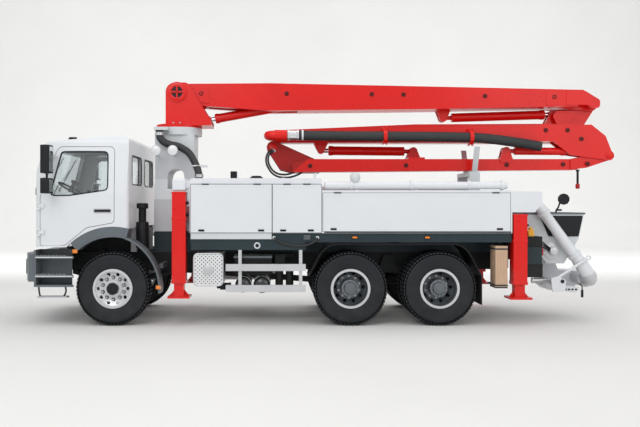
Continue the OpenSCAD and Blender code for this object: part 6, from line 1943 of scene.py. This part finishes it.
@dataclass
class HopperTrim:
    """Rim, grate, rubber, lamp, delivery pipe and levers of the hopper."""

    side_y: float = -0.66
    rim_z: float = 1.69
    rim_x: tuple[float, float] = (3.16, 4.068)
    pipe_y: float = -0.754
    pipe_low: tuple[float, float] = (4.13, 0.69)
    pipe_high: tuple[float, float] = (3.33, 1.79)

    def on_pipe(self, share: float, profile: Pairs) -> Object:
        """A turned ring on the sloping delivery pipe.

        Args:
            share: Its place from the pipe's low end to the high one.
            profile: Radii and heights along the pipe.

        Returns:
            The settled ring.
        """
        (x0, z0), (x1, z1) = self.pipe_low, self.pipe_high
        at = (x0 + (x1 - x0) * share, self.pipe_y, z0 + (z1 - z0) * share)
        ring = Bench.stepped(at, Axis.LENGTH, profile, 32)
        return Bench.turn(ring, -math.atan2(z1 - z0, x1 - x0), "Y", at)

    def rim(self) -> None:
        """Frame the mouth and lay the grate's bars over it."""
        x0, x1 = self.rim_x
        y, z = -self.side_y, self.rim_z
        bars = [Bench.block((x0 - 0.012, side - 0.022, z - 0.01), (x1 + 0.018, side + 0.022, z + 0.02), 0.005)
            for side in (-y + 0.012, y - 0.012)]
        bars += [Bench.block((x - 0.022, -y, z - 0.01), (x + 0.022, y, z + 0.02), 0.005)
            for x in (x0 + 0.01, x1 - 0.004)]
        Shop.fit("hopper_rim", Coat.GREY, *bars)
        grate = [Bench.block((x0 + 0.03, side - 0.006, z - 0.006), (x1 - 0.03, side + 0.006, z + 0.014),
            0.003) for side in [-0.56 + 0.14 * i for i in range(9)]]
        grate += [Bench.block((x - 0.008, -0.62, z - 0.012), (x + 0.008, 0.62, z - 0.004), 0.003)
            for x in (x0 + 0.24, x0 + 0.48, x0 + 0.72)]
        Shop.fit("hopper_grate", Coat.GREY, *grate)
        flap = Bench.plate(Bench.rounded(((3.5, 1.33), (3.976, 1.33), (4.046, 1.66), (3.36, 1.66)),
            (0.02,) * 4, 3), self.side_y - 0.01, self.side_y + 0.002)
        Shop.pair("flap", Coat.PLASTIC, flap)
        back = Bench.block((3.992, -0.62, 1.34), (4.002, 0.62, 1.655), 0.004)
        Bench.turn(back, math.atan2(0.09, 0.4), "Y", (3.992, 0.0, 1.34))
        Shop.fit("hopper_flap_back", Coat.PLASTIC, back)

    def lamp(self) -> None:
        """Stand the black work lamp on its stalk at the rim."""
        head = Bench.stepped((3.758, -0.56, 1.924), Axis.WIDTH, ((0.04, -0.02), (0.08, -0.004), (0.09, 0.02),
            (0.09, 0.06), (0.084, 0.066), (0.078, 0.058), (0.03, 0.056)), 10)
        stalk = Bench.pipe([(3.62, -0.64, 1.68), (3.64, -0.62, 1.74), (3.69, -0.58, 1.8),
            (3.715, -0.56, 1.86)], 0.013)
        clip = Bench.block((3.64, -0.625, 1.735), (3.73, -0.575, 1.765), 0.006)
        Shop.fit("hopper_lamp", Coat.PLASTIC, head, stalk, clip)

    def pipe(self) -> None:
        """Clamp the delivery pipe, and bend both of its ends."""
        y = self.pipe_y
        top = Bench.pipe([(3.375, y, 1.728), (3.33, y, 1.79), (3.262, y, 1.855), (3.16, y, 1.89),
            (3.0, y, 1.9), (2.74, y, 1.9)], 0.085, 6)
        ring = ((0.083, 0.0), (0.104, 0.003), (0.104, 0.05), (0.083, 0.053))
        rings = [self.on_pipe(share, ring) for share in (0.9, 0.3)]
        sleeve = self.on_pipe(0.02, ((0.106, 0.0), (0.106, 0.25), (0.085, 0.42), (0.082, 0.424)))
        Shop.fit("delivery_trim", Coat.WHITE, top, sleeve, *rings)
        route = [(4.085, -0.754, 0.752), (4.118, -0.75, 0.7), (4.135, -0.715, 0.662), (4.135, -0.64, 0.648),
            (4.13, -0.54, 0.648), (4.11, -0.4, 0.65), (4.08, -0.29, 0.655)]
        bend = Bench.pipe(route, 0.108, 6)
        collars = [Bench.stepped((4.12, y, 0.649), Axis.WIDTH,
            ((0.108, 0.0), (0.13, 0.003), (0.13, 0.045), (0.108, 0.048)), 32) for y in (-0.33, -0.54)]
        Shop.fit("delivery_elbow", Coat.SILVER, bend, *collars)

    def levers(self) -> None:
        """Fit the lock lever, its plates, the cleaning door and the grips."""
        lever = Bench.pipe([(3.52, -0.88, 0.667), (3.7, -0.88, 0.783), (4.025, -0.88, 0.993)], 0.022)
        hook = Bench.hoop((4.045, -0.88, 1.006), Axis.WIDTH, 0.03, 0.012, 24)
        plate = Bench.plate(Bench.rounded(((3.455, 0.69), (3.56, 0.72), (3.69, 0.66), (3.68, 0.48),
            (3.48, 0.47)), (0.03, 0.03, 0.04, 0.04, 0.04), 4), -0.9, -0.868)
        post = Bench.block((3.56, -0.872, 0.56), (3.64, -0.28, 0.64), 0.008)
        door = Bench.plate(Bench.rounded(((3.69, 0.47), (3.9, 0.44), (3.975, 0.47), (3.96, 0.53),
            (3.76, 0.56)), (0.03, 0.03, 0.03, 0.02, 0.02), 4), -0.7, -0.28)
        Shop.fit("delivery_lever", Coat.WHITE, lever, hook, plate, post, door)
        bolt = Bench.stepped((3.632, -0.898, 0.64), Axis.WIDTH, ((0.03, 0.0), (0.03, 0.01), (0.018, 0.014)),
            20)
        grip = Bench.stepped((4.025, -0.69, 0.365), Axis.HEIGHT, ((0.012, 0.0), (0.02, 0.006), (0.02, 0.11),
            (0.013, 0.12), (0.008, 0.13)), 16)
        rod = Bench.pipe([(4.025, -0.69, 0.48), (4.025, -0.685, 0.53), (4.025, -0.64, 0.56),
            (4.025, -0.54, 0.57)], 0.009)
        slots = [Bench.block((3.74 + 0.055 * i, -0.702, 0.478), (3.775 + 0.055 * i, -0.69, 0.506), 0.002)
            for i in range(4)]
        Shop.fit("delivery_grips", Coat.PLASTIC, bolt, grip, rod, *slots)

    def agitator(self) -> None:
        """Fit the agitator's motors and pipes, the drain pipe and the fins."""
        motor = Bench.stepped((3.56, self.side_y + 0.002, 1.1), Axis.WIDTH, ((0.132, 0.0), (0.132, 0.014),
            (0.11, 0.018), (0.07, 0.022), (0.066, 0.09), (0.052, 0.1), (0.03, 0.104)), 36)
        stud = Bench.stepped((3.56 + 0.118, self.side_y, 1.1), Axis.WIDTH,
            ((0.012, 0.014), (0.012, 0.026), (0.008, 0.028)), 6)
        studs = Bench.ring(stud, 8, "Y", (3.56, 0.0, 1.1))
        Shop.pair("agitator_motor", Coat.SILVER, motor, *studs)
        lines = [Bench.pipe([(3.27, -0.72 - 0.04 * i, 1.26 - 0.03 * i),
            (3.36, -0.735 - 0.03 * i, 1.25 - 0.04 * i), (3.44, -0.74 - 0.01 * i, 1.19 - 0.03 * i),
            (3.52, -0.735, 1.13 - 0.02 * i)], 0.011) for i in range(3)]
        Shop.fit("agitator_pipes", Coat.BLACK, *lines)
        cross = Bench.stepped((3.25, -0.6, 0.625), Axis.LENGTH, ((0.03, 0.0), (0.044, 0.003), (0.044, 0.03),
            (0.034, 0.034), (0.034, 0.19), (0.044, 0.194), (0.044, 0.224)), 24)
        stay = Bench.block((3.44, -0.64, 0.6), (3.57, -0.28, 0.65), 0.006)
        Shop.fit("drain_pipe", Coat.STEEL, cross, stay)
        fins = [Bench.plate(((3.3, 1.23), (3.33, 1.23), (3.47, 1.04), (3.44, 1.03)), y, y + 0.01)
            for y in (-0.672, 0.662)]
        Shop.fit("hopper_fins", Coat.LIGHT_GREY, *fins)

    def build(self) -> None:
        """Make all the hopper's trim."""
        self.rim()
        self.lamp()
        self.pipe()
        self.levers()
        self.agitator()


def main() -> None:
    """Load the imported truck, build its studio and dress it."""
    logging.basicConfig(level=logging.INFO, format="%(name)s: %(message)s")
    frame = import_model()
    Studio().build()
    Hoses().build()
    Livery().apply({name: bpy.data.objects[name] for name in frame["nodes"]})
    Wheels().build()
    CabTrim().build()
    Interior().build()
    BoomTrim().build()
    BodyTrim().build()
    OutriggerTrim().build()
    ChassisTrim().build()
    HopperTrim().build()
    Bench.clear()


if __name__ == "__main__":
    main()
